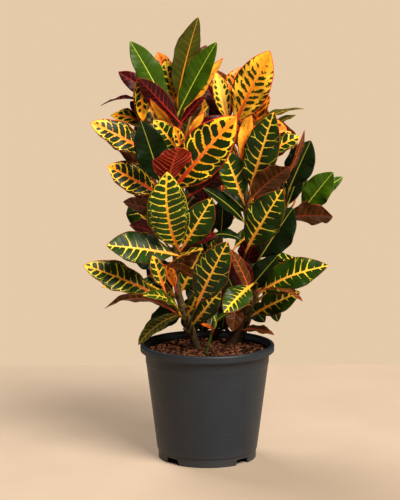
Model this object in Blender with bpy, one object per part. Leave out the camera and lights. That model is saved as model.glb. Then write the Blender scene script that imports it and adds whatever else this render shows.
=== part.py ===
"""A potted croton: a tapered nursery pot, potting bark, and four leafy stems with a seedling shoot.

Every node is one closed solid. Lengths in the tables are millimetres from the pot's axis at its base;
the meshes are in metres, +Z up. A leaf is a row: its finish, where the blade starts and ends, how wide it
is, which way its upper face looks, and how far it bows. Leaves that would cross are turned a little
nearer or further until each is clear. An empty carries all the nodes, and stands so that the middle of
the whole plant's box is over the origin.
"""

import math

import bmesh
import bpy
import numpy as np
from mathutils import Matrix, Vector
from mathutils.bvhtree import BVHTree

MM = 0.001

# ---- colours ---------------------------------------------------------------------------------------
POT_COLOUR = (0.045, 0.048, 0.052)
BARK_COLOUR = (0.10, 0.045, 0.025)
LEAF_COLOUR = (0.07, 0.15, 0.03)
SHOOT_COLOUR = (0.12, 0.22, 0.04)

# ---- pot -------------------------------------------------------------------------------------------
POT_SEGMENTS = 48
FOOT_RADIUS = 77.0
FOOT_HEIGHT = 13.0
BODY_BASE_RADIUS = 78.6
COLLAR_Z = 152.0
COLLAR_LOW_RADIUS = 95.4
COLLAR_RADIUS = 96.8
COLLAR_TOP_Z = 173.5
RIM_UNDER_Z = 169.5
RIM_RADIUS = 105.0
RIM_LIP = 2.4
RIM_TOP_Z = 181.0
RIM_INNER_RADIUS = 99.2
WALL = 2.2
FLOOR_Z = 10.0
NOTCH_WIDTH = 27.0
NOTCH_HEIGHT = 9.0
NOTCH_TAPER = 0.86
NOTCH_AZIMUTHS = (45.0, 135.0, 225.0, 315.0)
DRAIN_RADIUS = 6.0
DRAIN_RING = 58.0
DRAIN_AZIMUTHS = (0.0, 90.0, 180.0, 270.0)

# ---- potting bark ----------------------------------------------------------------------------------
SOIL_Z = 168.0
SOIL_MOUND = 3.0
SOIL_EDGE_DROP = 2.0
SOIL_GAP = 0.5
SOIL_RINGS = 8
SOIL_SEGMENTS = 32
CHIP_RELIEF = 1.8
HOLE_GAP = 0.5
ROOT_Z = 128.0

# ---- leaves ----------------------------------------------------------------------------------------
BLADE_THICK = 0.9
BASE_THICK = 2.1
BASE_GRIP = 1.7
TIP_GRIP = 0.5
BASE_POWER = 0.95
TIP_POWER = 0.88
FOLD = 15.0
CURL = 0.10
WAVE = 0.055
WAVES_ALONG = 2.6
WAVE_SHIFT = 0.21
BLADE_STEPS = (0.0, 0.15, 0.35, 0.56, 0.79, 1.0)
PETIOLE_STEPS = (0.0, 0.55)
# A small leaf, and each leaf of the far side, has fewer stations.
SMALL_WIDTH = 34.0
SMALL_BLADE_STEPS = (0.0, 0.26, 0.62, 1.0)
SMALL_PETIOLE_STEPS = (0.0,)
PETIOLE_RADIUS = 1.9
PETIOLE_FLARE = 1.15
THIN_WIDTH = 20.0
THIN_PETIOLE = 0.7
PETIOLE_BEND = 0.45
PETIOLE_DROP = 8.0
PETIOLE_SLOPE = 0.6
HEXAGON = ((-0.87, 0.5), (0.0, 1.0), (0.87, 0.5), (0.87, -0.5), (0.0, -1.0), (-0.87, -0.5))
PHASE_STEP = 0.37

# ---- placing ---------------------------------------------------------------------------------------
CLEARANCE = 1.3
STEM_CLEARANCE = 1.5
GUARD_RISE = 7.0
GUARD_MARGIN = 1.0
START_DEPTHS = (-21.0, -14.0, -7.0, 0.0, 7.0, 14.0, 21.0)
TIP_DEPTHS = (-44.0, -33.0, -22.0, -11.0, 0.0, 11.0, 22.0, 33.0, 44.0)
TIP_RISES = (-12.0, -6.0, 0.0, 6.0, 12.0)
SIZES = (1.0, 0.9, 0.78)
FAR_SIZES = (1.0, 0.8)

# Each stem: its path from the soil up, its lowest and highest radius, and how many sides its tube has.
STEMS = {
    "left_stem": (
        [(-15, 5, 170), (-32, 0, 217), (-46, -5, 266), (-49, -8, 330), (-49, 0, 430), (-45, 8, 545)],
        (6.2, 3.6),
        8,
    ),
    "centre_stem": (
        [(14, 75, 170), (11, 62, 238), (18, 46, 306), (21, 38, 350), (20, 36, 400), (10, 38, 466),
         (2, 38, 530)],
        (6.0, 3.4),
        8,
    ),
    "right_stem": (
        [(38, 42, 170), (55, 40, 213), (66, 30, 260), (64, 20, 333), (60, 15, 415), (51, 20, 525)],
        (7.0, 3.3),
        8,
    ),
    "side_stem": (
        [(52, 58, 170), (68, 60, 212), (90, 48, 289), (114, 32, 363), (128, 22, 419), (134, 16, 450)],
        (4.8, 2.8),
        7,
    ),
    "seedling": (
        [(-2, -30, 170), (3, -34, 190), (8, -38, 208), (12, -42, 222)],
        (1.7, 1.3),
        6,
    ),
}

# Short cut-off shoots: the stem they grow from, the height they leave it, and where their cut end is.
STUBS = (
    ("centre_stem", 176, (20, 52, 190), 3.4),
    ("right_stem", 182, (30, 34, 197), 3.0),
    ("left_stem", 196, (-36, -10, 206), 2.6),
)

# name, finish, start of the blade, tip, width, way the upper face looks, bow as a share of the length
# (or bow and sideways bow)
LEAVES = {
    "left_stem": (
        ("ladder", "ladder", (-45, -60, 341), (-60, -118, 463), 66, (0.0, -1.0, 0.35), (0.06, -0.06)),
        ("hero", "hero", (-52, -62, 431), (43, -108, 545), 73, (-0.1, -1.0, 0.2), 0.03),
        ("red_ribbed", "red", (-60, -78, 442), (-42, -146, 500), 62, (-0.25, 0.55, 0.8), 0.05),
        ("rib_left", "rib", (-52, -55, 331), (-152, -92, 349), 58, (0.1, -0.8, 0.6), 0.03),
        ("rib_low_left", "net", (-86, -45, 269), (-189, -62, 314), 50, (0.1, -0.8, 0.55), 0.05),
        ("rib_centre", "rib", (-37, -55, 341), (7, -75, 419), 49, (0.1, -1.0, 0.2), 0.05),
        ("rib_front", "rib", (-14, -74, 260), (30, -128, 361), 56, (-0.1, -1.0, 0.25), 0.05),
        ("gold_left", "gold_net", (-88, -25, 479), (-177, -50, 530), 48, (0.2, -0.9, 0.5), 0.06),
        ("gold_net_left", "gold_net", (-78, -25, 421), (-152, -45, 464), 51, (0.1, -0.9, 0.45), 0.03),
        ("spire", "olive", (-46, 5, 562), (-14, -5, 687), 47, (-0.55, 0.82, 0.1), 0.03),
        ("fresh_left", "fresh", (-63, -15, 552), (-117, -36, 652), 43, (0.35, -1.0, 0.2), 0.04),
        ("fresh_right", "fresh", (-43, -25, 545), (14, -46, 651), 40, (-0.4, -1.0, 0.1), 0.04),
        ("wine_front", "maroon", (-45, -36, 532), (-104, -66, 598), 32, (-0.2, 0.9, 0.3), 0.04),
        ("wine_left", "maroon", (-70, 25, 558), (-138, 35, 602), 31, (0.0, -1.0, 0.3), 0.05),
        ("plain_green", "plain", (-71, -52, 441), (-100, -78, 536), 51, (0.1, -1.0, 0.2), 0.05),
        ("folded_gold", "gold", (-40, -14, 525), (24, 0, 625), 26, (-0.5, 0.8, 0.3), 0.05),
        ("top_sunset", "sunset", (-58, 32, 574), (-77, 45, 632), 34, (0.0, -1.0, 0.2), 0.05),
        ("dark_red_blade", "maroon", (-38, 32, 584), (-1, 42, 643), 23, (-0.3, -1.0, 0.1), 0.05),
        ("net_edge", "gold_net", (-99, -10, 606), (-98, -42, 530), 28, (-0.3, -1.0, 0.2), 0.04),
        ("net_band", "net", (-40, -32, 482), (-82, -50, 534), 36, (0.1, -1.0, 0.2), 0.05),
        ("net_point", "net", (-92, -8, 560), (-76, -30, 518), 24, (0.2, -1.0, 0.2), 0.05),
        ("net_slip", "gold_net", (-38, -36, 487), (-51, -52, 526), 20, (0.2, -1.0, 0.2), 0.05),
        ("rolled_orange", "gold", (-48, -24, 518), (-87, -40, 566), 18, (-0.6, -0.7, 0.3), 0.05),
        ("far_left_edge", "maroon", (-86, 20, 551), (-166, 40, 549), 28, (0.0, -0.1, 1.0), 0.14),
        ("wine_low", "maroon", (-84, 15, 530), (-120, 25, 556), 28, (0.0, -0.7, 0.7), 0.05),
        ("gold_small", "gold_net", (-89, 20, 517), (-150, 30, 535), 34, (0.1, -0.7, 0.75), 0.12),
        ("under_gold", "brown", (-73, -18, 422), (-162, -34, 508), 34, (0.6, -0.45, 0.65), 0.05),
        ("orange_slip", "gold", (-31, -28, 510), (-5, -40, 545), 15, (0.3, -1.0, 0.1), 0.06),
        ("wine_slip", "maroon", (-42, -18, 524), (-4, -20, 569), 16, (-0.5, -0.8, 0.2), 0.04),
        ("wine_behind", "maroon", (-36, -14, 500), (32, -12, 536), 32, (-0.2, -1.0, 0.2), 0.05),
        ("brown_left", "brown", (-66, 20, 380), (-132, 35, 399), 36, (0.0, 0.85, 0.5), 0.05),
        ("maroon_left", "maroon", (-58, 0, 344), (-121, 0, 367), 36, (0.0, 0.8, 0.6), 0.08),
        ("rib_small", "net", (-67, -80, 284), (-83, -96, 335), 24, (0.1, -1.0, 0.2), 0.05),
        ("dark_low_left", "net", (-103, 25, 259), (-167, 30, 264), 26, (0.0, -0.4, 0.9), 0.08),
        ("brown_fold", "brown", (-4, -48, 278), (-68, -92, 318), 34, (0.1, 0.4, 0.9), 0.10),
        ("edge_green", "net", (-50, -62, 322), (-6, -84, 342), 26, (0.0, -0.3, 1.0), 0.05),
        ("droop_brown", "brown", (-54, -20, 236), (-157, -56, 246), 43, (0.0, 0.55, 0.8), 0.18),
        ("bright_arch", "bright", (-44, -36, 238), (-98, -78, 270), 30, (0.2, -0.5, 0.85), 0.16),
        ("brown_small", "brown", (-60, -12, 266), (-93, -40, 294), 23, (0.2, -0.2, 0.95), 0.08),
        ("orange_small", "sunset", (-50, -28, 274), (-64, -46, 313), 20, (0.5, -0.8, 0.2), 0.05),
        ("low_rib_a", "rib", (-28, -30, 236), (-14, -54, 274), 23, (0.3, -1.0, 0.2), 0.05),
        ("low_rib_b", "rib", (-18, -36, 223), (20, -72, 277), 36, (0.0, -1.0, 0.3), 0.06),
    ),
    "right_stem": (
        ("gold_crown", "gold", (44, -6, 528), (94, -42, 638), 60, (-0.15, -1.0, 0.2), 0.04),
        ("rib_tall", "rib", (66, -30, 428), (99, -76, 548), 55, (-0.1, -1.0, 0.25), 0.04),
        ("rib_right", "rib", (62, -52, 341), (112, -95, 434), 59, (-0.1, -1.0, 0.3), 0.05),
        ("rib_far_right", "rib", (84, -32, 268), (183, -78, 316), 53, (-0.15, -0.85, 0.5), 0.13),
        ("dark_rib", "rib", (53, -20, 412), (24, -50, 489), 47, (0.1, -1.0, 0.2), 0.05),
        ("plain_behind", "plain", (82, -16, 319), (131, -36, 399), 60, (-0.1, -1.0, 0.3), 0.05),
        ("front_bright", "bright_rib", (64, -76, 284), (24, -132, 254), 41, (0.1, -0.75, 0.65), 0.05),
        ("pale_gold", "gold", (30, 4, 531), (12, 0, 604), 30, (0.3, -1.0, 0.1), 0.05),
        ("sunset_behind", "sunset", (30, 25, 548), (52, 35, 609), 38, (0.0, -1.0, 0.2), 0.05),
        ("behind_left", "brown", (40, 30, 546), (15, 42, 604), 30, (0.0, -1.0, 0.2), 0.05),
        ("gold_a", "gold", (52, -4, 468), (66, 4, 545), 24, (-0.2, -1.0, 0.1), 0.05),
        ("gold_b", "gold", (55, -20, 462), (83, -30, 530), 24, (-0.3, -1.0, 0.1), 0.05),
        ("olive_edge", "olive", (60, 15, 505), (151, 44, 544), 30, (0.0, -0.1, 1.0), 0.11),
        ("olive_tip", "olive", (80, 30, 500), (139, 50, 534), 24, (0.0, -0.25, 1.0), 0.07),
        ("sunset_tip", "sunset", (78, 18, 520), (123, 20, 515), 26, (0.0, -0.9, 0.4), 0.06),
        ("brown_right", "brown", (67, -36, 413), (122, -70, 466), 47, (0.15, 0.6, 0.75), 0.06),
        ("shade_a", "plain", (58, 0, 371), (-7, -44, 430), 28, (0.4, -0.7, 0.6), 0.06),
        ("shade_b", "plain", (62, 6, 384), (22, -10, 421), 23, (0.4, -0.7, 0.6), 0.06),
        ("narrow_red", "brown", (66, -40, 267), (33, -64, 340), 24, (0.5, -0.8, 0.3), 0.05),
        ("shade_maroon", "maroon", (64, -14, 266), (39, -40, 326), 36, (0.0, -1.0, 0.2), 0.05),
        ("blue_green", "plain", (65, -14, 267), (108, -36, 325), 36, (-0.1, -1.0, 0.3), 0.05),
        ("slip_low", "sunset", (59, -44, 250), (30, -80, 240), 16, (0.0, -0.4, 0.9), 0.08),
        ("rib_low_right", "rib", (77, -6, 230), (143, -36, 268), 41, (0.0, -0.9, 0.45), 0.07),
        ("brown_fold_right", "brown", (84, -44, 276), (142, -72, 268), 22, (0.0, 0.1, 1.0), 0.10),
        ("pointing_down", "plain", (100, 20, 244), (111, 16, 211), 20, (0.2, -1.0, 0.2), 0.05),
        ("lying", "brown", (54, 40, 193), (106, 26, 188), 26, (0.0, -0.3, 0.95), 0.10),
    ),
    "side_stem": (
        ("round_green", "plain", (127, -10, 427), (157, -36, 502), 47, (-0.1, -1.0, 0.2), 0.05),
        ("fresh_side", "fresh", (147, -6, 391), (192, -30, 453), 45, (-0.2, -1.0, 0.2), 0.04),
        ("pink_rib", "brown", (124, -12, 381), (190, -54, 388), 48, (0.0, 0.85, 0.5), 0.05),
        ("upright_fold", "brown", (121, -34, 446), (146, -52, 519), 17, (0.75, -0.65, 0.2), 0.04),
        ("dark_edge", "net", (96, 12, 478), (143, 12, 503), 34, (-0.3, -0.75, 0.6), 0.06),
        ("fresh_behind", "fresh", (165, 25, 407), (212, 30, 439), 21, (-0.3, -1.0, 0.2), 0.04),
        ("side_dark", "plain", (126, 14, 400), (144, 10, 452), 26, (0.0, -1.0, 0.2), 0.05),
    ),
    "centre_stem": (
        ("wine_upright", "maroon", (28, 10, 528), (-5, 15, 585), 28, (0.2, -1.0, 0.2), 0.05),
        ("arched_small", "plain", (6, -8, 350), (53, -28, 347), 23, (0.0, -0.5, 0.85), 0.16),
    ),
    "seedling": (
        ("seed_leaf_a", "fresh", (14, -44, 224), (34, -58, 240), 11, (0.0, -0.7, 0.7), 0.08),
        ("seed_leaf_b", "sunset", (8, -44, 212), (-10, -58, 222), 9, (0.0, -0.7, 0.7), 0.08),
        ("seed_leaf_c", "fresh", (13, -36, 220), (6, -22, 240), 10, (0.2, -0.8, 0.4), 0.08),
    ),
}

# The leaves inside the plant and behind the front ones, in the same form. They are placed after the
# front leaves, with fewer stations.
INNER = {
    "left_stem": (
        ("skirt_front", "olive", (-42, -2, 226), (-107, -32, 184), 34, (-0.3, -0.5, 0.8), 0.12),
        ("skirt_back", "plain", (-36, 24, 232), (-90, 16, 200), 44, (-0.3, -0.75, 0.6), 0.08),
        ("mid_a", "plain", (-38, 14, 424), (18, 4, 458), 42, (0.1, -1.0, 0.3), 0.05),
        ("waist_a", "maroon", (-34, -16, 338), (14, -34, 356), 32, (0.0, -0.6, 0.8), 0.06),
        ("waist_b", "rib", (-40, 14, 262), (-8, 2, 330), 46, (0.0, -1.0, 0.2), 0.05),
        ("waist_c", "plain", (-56, 12, 262), (-92, 6, 318), 42, (0.0, -1.0, 0.3), 0.05),
        ("crown_a", "net", (-60, 10, 504), (-96, 8, 570), 40, (-0.1, -1.0, 0.2), 0.05),
        ("crown_b", "net", (-50, 24, 556), (-66, 26, 620), 34, (0.0, -1.0, 0.2), 0.05),
        ("base_i", "plain", (-34, 20, 236), (-18, 20, 194), 34, (0.0, -1.0, 0.3), 0.05),
        ("waist_k", "brown", (-46, 8, 300), (-20, -6, 338), 34, (0.0, -1.0, 0.2), 0.05),
        ("left_a", "brown", (-70, 10, 400), (-122, 6, 440), 40, (0.0, -0.9, 0.4), 0.06),
        ("left_b", "plain", (-66, 8, 300), (-120, 0, 330), 42, (0.0, -0.9, 0.5), 0.06),
        ("left_c", "plain", (-60, 20, 470), (-118, 16, 500), 42, (0.0, -0.9, 0.4), 0.06),
    ),
    "centre_stem": (
        ("base_a", "plain", (2, 52, 250), (-40, 66, 204), 38, (0.0, -1.0, 0.3), 0.05),
        ("base_b", "brown", (24, 62, 252), (42, 84, 204), 36, (0.0, -1.0, 0.3), 0.05),
        ("base_c", "plain", (12, 34, 232), (4, 10, 200), 22, (0.0, -1.0, 0.3), 0.05),
        ("base_d", "plain", (4, 46, 234), (-4, 26, 284), 38, (0.0, -1.0, 0.2), 0.05),
        ("base_f", "plain", (0, 48, 236), (-8, 32, 190), 36, (0.0, -1.0, 0.3), 0.05),
        ("base_g", "plain", (30, 50, 240), (24, 32, 192), 38, (0.0, -1.0, 0.3), 0.05),
        ("base_j", "plain", (2, 44, 238), (-34, 28, 268), 34, (0.0, -1.0, 0.2), 0.05),
        ("waist_j", "plain", (22, 32, 350), (25, 8, 408), 36, (0.0, -1.0, 0.2), 0.05),
        ("mid_b", "maroon", (-2, 30, 400), (-28, 10, 462), 40, (0.0, -1.0, 0.2), 0.05),
        ("mid_c", "plain", (0, 34, 440), (40, 16, 480), 42, (0.0, -1.0, 0.3), 0.05),
        ("waist_d", "plain", (-6, 36, 318), (-22, 14, 392), 46, (0.0, -1.0, 0.2), 0.05),
        ("waist_e", "maroon", (10, 48, 262), (16, 18, 330), 44, (0.0, -1.0, 0.2), 0.05),
        ("crown_c", "maroon", (6, 30, 520), (36, 10, 566), 36, (0.0, -1.0, 0.2), 0.05),
    ),
    "right_stem": (
        ("base_e", "plain", (56, 48, 240), (92, 62, 206), 32, (0.1, -0.8, 0.5), 0.06),
        ("base_h", "brown", (46, 32, 238), (40, 14, 196), 30, (0.0, -1.0, 0.3), 0.05),
        ("waist_f", "plain", (52, 34, 236), (30, 6, 290), 40, (0.0, -1.0, 0.2), 0.05),
        ("waist_g", "maroon", (60, 26, 300), (76, -2, 352), 40, (0.0, -1.0, 0.2), 0.05),
        ("right_a", "rib", (86, 14, 250), (140, -8, 292), 40, (0.0, -0.9, 0.4), 0.06),
        ("right_b", "net", (84, 26, 466), (130, 24, 510), 38, (0.0, -0.9, 0.4), 0.06),
        ("right_c", "brown", (74, 16, 400), (112, 2, 450), 42, (0.0, -1.0, 0.3), 0.05),
    ),
    "side_stem": (
        ("side_a", "rib", (110, 40, 388), (136, 30, 450), 44, (0.0, -1.0, 0.2), 0.05),
        ("side_b", "plain", (104, 30, 330), (120, 12, 388), 40, (0.1, -1.0, 0.2), 0.05),
    ),
}

# The far side, which fills by rule: stem, lowest and highest leaf, number of leaves, first azimuth.
FAR_SIDE = (
    ("centre_stem", 240, 512, 22, 95.0),
    ("left_stem", 236, 515, 12, 130.0),
    ("right_stem", 236, 495, 10, 60.0),
    ("side_stem", 270, 430, 6, 40.0),
)
GOLDEN_ANGLE = 137.508
FAR_LENGTH = (104.0, 140.0)
FAR_WIDTH = (44.0, 58.0)
FAR_RISE = (6.0, 62.0)
FAR_FACE_UP = (1.1, 0.2)
FAR_LOW = ("rib", "plain", "net", "rib", "bright_rib")
FAR_HIGH = ("gold_net", "sunset", "net", "maroon", "gold", "rib")
# How far out a tip may reach at each height, and the gap between the stems that stays open.
FAR_REACH = ((200, 85), (265, 135), (310, 145), (345, 110), (380, 118), (440, 145), (520, 112), (600, 60))
FAR_TOP = 612.0
FAR_GAP = ((5.0, 78.0), (312.0, 402.0))
FAR_SEED = 11


# ---- small helpers ---------------------------------------------------------------------------------
def unit(v):
    """The vector at length one."""
    v = np.asarray(v, float)
    return v / np.linalg.norm(v)


def around(azimuth, radius=1.0):
    """The point at this azimuth, in degrees, and radius."""
    turn = math.radians(azimuth)
    return radius * math.cos(turn), radius * math.sin(turn)


def smooth_path(points, per_span=3):
    """A smooth curve through the points: each span blends the two nearest parabolas."""
    pts = np.asarray(points, float)
    ends = np.vstack([2 * pts[0] - pts[1], pts, 2 * pts[-1] - pts[-2]])
    out = []
    for i in range(1, len(ends) - 2):
        p0, p1, p2, p3 = ends[i - 1 : i + 3]
        for t in np.arange(per_span) / per_span:
            out.append(
                0.5 * (2 * p1 + (p2 - p0) * t + (2 * p0 - 5 * p1 + 4 * p2 - p3) * t**2
                       + (3 * p1 - p0 - 3 * p2 + p3) * t**3)
            )
    return np.array(out + [pts[-1]])


def bezier(start, middle, end, t):
    """The point of the parabola with this control point, and its direction there."""
    point = (1 - t) ** 2 * start + 2 * t * (1 - t) * middle + t**2 * end
    return point, (1 - t) * (middle - start) + t * (end - middle)


def ring_faces(rings, sides):
    """Triangles of a tube of rings, capped at both ends, with each flat split the same way."""
    faces = []
    half = sides // 2
    for i in range(rings - 1):
        for j in range(sides):
            a, b = i * sides + j, i * sides + (j + 1) % sides
            c, d = b + sides, a + sides
            faces += [(a, b, c), (a, c, d)] if j < half else [(a, b, d), (b, c, d)]
    last = (rings - 1) * sides
    for j in range(1, sides - 1):
        faces.append((0, j + 1, j))
        faces.append((last, last + j, last + j + 1))
    return faces


def facing_out(points, faces):
    """The faces, turned round if they enclose a negative volume."""
    tri = np.asarray(points)[np.asarray(faces)]
    volume = np.einsum("ij,ij->i", tri[:, 0], np.cross(tri[:, 1], tri[:, 2])).sum()
    return faces if volume > 0 else [f[::-1] for f in faces]


def tube(path, radii, sides):
    """A capped tube round the path, its rings square to it."""
    ways = np.gradient(path, axis=0)
    rings = []
    for p, way, r in zip(path, ways, radii, strict=True):
        way = unit(way)
        across = unit(np.cross((0, 1, 0.2), way))
        over = np.cross(way, across)
        turn = 2 * math.pi * np.arange(sides) / sides
        rings.append(p + r * (np.outer(np.cos(turn), across) + np.outer(np.sin(turn), over)))
    points = np.array(rings).reshape(-1, 3)
    return points, facing_out(points, ring_faces(len(path), sides))


# ---- leaf shape ------------------------------------------------------------------------------------
def half_width(u, width):
    """Half the blade's width along its length: widest a little past the middle, drawn out at both ends."""
    widest = BASE_POWER / (BASE_POWER + TIP_POWER)
    shape = u**BASE_POWER * (1.0 - u) ** TIP_POWER
    return 0.5 * width * shape / (widest**BASE_POWER * (1.0 - widest) ** TIP_POWER)


class Leaf:
    """One leaf's placed form: a petiole from its stem and a bowed, folded, waved blade."""

    def __init__(self, name, stem, finish, start, tip, width, face, bow, phase, plain=False):
        self.name, self.stem, self.finish = name, stem, finish
        self.plain = plain or width < SMALL_WIDTH
        self.start, self.tip = np.asarray(start, float), np.asarray(tip, float)
        self.width, self.face, self.phase = width, face, phase
        self.bow, self.sway = bow if isinstance(bow, tuple) else (bow, 0.0)

    def frame(self):
        """The blade's sideways direction, and the offset of its middle from the straight line."""
        along = self.tip - self.start
        length = np.linalg.norm(along)
        s = unit(np.cross(along, unit(self.face)))
        n = np.cross(s, along / length)
        return s, 2.0 * length * (self.bow * n + self.sway * s)

    def blade(self, u, v):
        """Points of the blade's middle surface and its normals.

        The midrib is a parabola along u. Across, v runs from -1 to 1 over a shallow V whose sides curl
        down and carry waves that grow towards the edge.
        """
        s, offset = self.frame()
        middle = 0.5 * (self.start + self.tip) + offset
        u, v = u[:, None, None], v[None, :, None]
        centre, way = bezier(self.start, middle, self.tip, u)
        way = way / np.linalg.norm(way, axis=2, keepdims=True)
        up = np.cross(np.broadcast_to(s, way.shape), way)
        h = half_width(u, self.width)
        side = np.abs(v)
        wave = np.sin(2 * math.pi * (WAVES_ALONG * u + self.phase + WAVE_SHIFT * np.sign(v)))
        lift = h * (side * math.sin(math.radians(FOLD)) - CURL * side**2)
        lift = lift + WAVE * self.width * wave * side**1.5 * np.sin(math.pi * u)
        points = centre + s * v * h * math.cos(math.radians(FOLD)) + up * lift
        return points, np.broadcast_to(up, points.shape)

    def petiole_rings(self, root, spare):
        """Hexagons along the parabola from the root that meets the blade's start straight on."""
        s, offset = self.frame()
        reach = np.linalg.norm(self.start - root)
        middle = self.start - unit(2.0 * offset + self.tip - self.start) * PETIOLE_BEND * reach
        slim = THIN_PETIOLE if self.width < THIN_WIDTH else 1.0
        rings = []
        for t in SMALL_PETIOLE_STEPS if self.plain else PETIOLE_STEPS:
            centre, way = bezier(root, middle, self.start, t)
            way = unit(way)
            across = unit(s - way * (s @ way))
            over = np.cross(across, way)
            radius = slim * (PETIOLE_RADIUS * (PETIOLE_FLARE if t == 0 else 1.0) + spare / 2)
            rings.append([centre + radius * (a * across + b * over) for a, b in HEXAGON])
        return rings

    def blade_rings(self, spare):
        """Flat six-point rings: three points of the upper face, then three of the lower."""
        steps = np.array(SMALL_BLADE_STEPS if self.plain else BLADE_STEPS)
        top, up = self.blade(steps, np.array([-1.0, 0.0, 1.0]))
        s = self.frame()[0]
        rings = []
        for tops, ups, u in zip(top, up, steps):
            thick = (BASE_THICK if u == 0 else BLADE_THICK) + spare
            if u in (0, 1):
                grip = BASE_GRIP if u == 0 else TIP_GRIP
                tops = tops[1] + np.outer([-grip, 0, grip], s)
            high = tops + ups * (thick / 2)
            low = tops - ups * (thick / 2)
            rings.append(list(high) + list(low[::-1]))
        return rings

    def solid(self, root, spare=0.0, skip=0):
        """The leaf's points and triangles, closed. spare thickens it; skip leaves out the first rings."""
        rings = np.array(self.petiole_rings(root, spare) + self.blade_rings(spare))[skip:]
        points = rings.reshape(-1, 3)
        return points, facing_out(points, ring_faces(len(rings), 6))


# ---- placing ---------------------------------------------------------------------------------------
def stem_point(path, z):
    """The point of the path at this height, kept within the path's own span."""
    z = float(np.clip(z, path[0][2] + 12.0, path[-1][2] - 3.0))
    return np.array([np.interp(z, path[:, 2], path[:, k]) for k in (0, 1)] + [z])


def root_of(leaf, path):
    """Where the petiole leaves the stem: below the blade's start, more so for a blade further out."""
    flat = stem_point(path, leaf.start[2])[:2] - leaf.start[:2]
    return stem_point(path, leaf.start[2] - PETIOLE_DROP - PETIOLE_SLOPE * math.hypot(*flat))


def nudges():
    """Moves to try for a leaf that isn't clear, smallest first: start's depth, tip's depth, tip's height."""
    tries = [(a, b, c) for a in START_DEPTHS for b in TIP_DEPTHS for c in TIP_RISES]
    return sorted(tries, key=lambda m: (abs(m[0]) / 6 + abs(m[1]) / 11 + abs(m[2]) / 2.4, m))


def near(a, b):
    """Whether two boxes (low, high) come within reach of each other."""
    return bool((a[0] <= b[1] + 1).all() and (b[0] <= a[1] + 1).all())


def shape(points, faces):
    """The box and the search tree of a solid."""
    return points.min(axis=0), points.max(axis=0), BVHTree.FromPolygons(points.tolist(), faces)


def meets(a, b):
    """Whether two solids' surfaces cross."""
    return near(a[:2], b[:2]) and bool(a[2].overlap(b[2]))


class Placer:
    """Holds what is already placed, and finds each leaf a place clear of it."""

    def __init__(self, paths):
        self.paths = paths
        self.moves = nudges()
        self.blades = []
        self.others = [(None, shape(*turned(guard_profile(), POT_SEGMENTS)))]
        for stem, tube_shape in stem_tubes(paths, STEM_CLEARANCE).items():
            self.others.append((stem, shape(*tube_shape)))
        self.placed = []

    def clear(self, leaf):
        """The leaf's test shapes (blade alone, whole leaf), or None where one of them meets something.

        A petiole may cross leaves of its own stem, because both end in that stem's one solid.
        """
        root = root_of(leaf, self.paths[leaf.stem])
        blade = shape(*leaf.solid(root, CLEARANCE, 1))
        if any(meets(blade, other) for other in self.blades):
            return None
        whole = shape(*leaf.solid(root, CLEARANCE, 0))
        if any(stem != leaf.stem and meets(whole, other) for stem, other in self.others):
            return None
        return blade, whole

    def place(self, leaf, sizes):
        """Tries the leaf as drawn, then nudged, then a little smaller. Returns whether it found a place."""
        start, tip, width = leaf.start, leaf.tip, leaf.width
        for size in sizes:
            for a, b, c in self.moves:
                leaf.start = start + (0, a, 0)
                leaf.tip = leaf.start + ((tip - start) + (0, b - a, c)) * size
                leaf.width = width * size
                found = self.clear(leaf)
                if found:
                    self.blades.append(found[0])
                    self.others.append((leaf.stem, found[1]))
                    self.placed.append(leaf)
                    return True
        return False


def far_leaves(paths):
    """The leaves of the far side, by rule: up each stem at the golden angle, turned to the back."""
    draw = np.random.default_rng(FAR_SEED)
    heights, reaches = zip(*FAR_REACH)
    for stem, bottom, top, count, azimuth in FAR_SIDE:
        for i in range(count):
            share = i / max(count - 1, 1)
            out = np.array([*around((azimuth + i * GOLDEN_ANGLE) % 180.0), 0.0])
            rise = math.radians(FAR_RISE[0] + (FAR_RISE[1] - FAR_RISE[0]) * share + draw.uniform(-6, 6))
            length = draw.uniform(*FAR_LENGTH) * (1.0 - 0.15 * share)
            z = bottom + (top - bottom) * share
            start = stem_point(paths[stem], z - 10) + out * 26.0 + (0, 0, 14.0)
            tip = start + length * (out * math.cos(rise) + np.array([0, 0, math.sin(rise)]))
            tip[2] = min(tip[2], FAR_TOP)
            reach = float(np.interp(tip[2], heights, reaches))
            tip[0] = float(np.clip(tip[0], -reach, reach + 8.0))
            middle = 0.5 * (start + tip)
            if all(low < m < high for m, (low, high) in zip(middle[[0, 2]], FAR_GAP)):
                continue
            up = FAR_FACE_UP[0] + (FAR_FACE_UP[1] - FAR_FACE_UP[0]) * share
            face = out + np.array([0, 0, up])
            kinds = FAR_HIGH if share > 0.55 else FAR_LOW
            finish = kinds[int(draw.integers(len(kinds)))]
            width, bow, phase = draw.uniform(*FAR_WIDTH), 0.09 - 0.05 * share, draw.uniform(0, 1)
            yield Leaf(f"far_{stem}_{i}", stem, finish, start, tip, width, face, bow, phase, plain=True)


def place_leaves(paths):
    """Every leaf, in order: the front ones, the inner ones, then the far side. Returns the placed ones."""
    placer = Placer(paths)
    missed = []
    rows = [(stem, row, table is INNER) for table in (LEAVES, INNER) for stem in table for row in table[stem]]
    for i, (stem, (name, finish, start, tip, width, face, bow), inner) in enumerate(rows):
        leaf = Leaf(name, stem, finish, start, tip, width, face, bow, (i * PHASE_STEP) % 1.0, plain=inner)
        if not placer.place(leaf, SIZES):
            missed.append(name)
    for leaf in far_leaves(paths):
        if not placer.place(leaf, FAR_SIZES):
            missed.append(leaf.name)
    print("leaves placed:", len(placer.placed), "left out:", missed)
    return placer.placed


# ---- stems -----------------------------------------------------------------------------------------
def stem_paths():
    """Each stem's smooth path above the soil, in millimetres."""
    return {name: smooth_path(points) for name, (points, _radii, _sides) in STEMS.items()}


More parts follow.
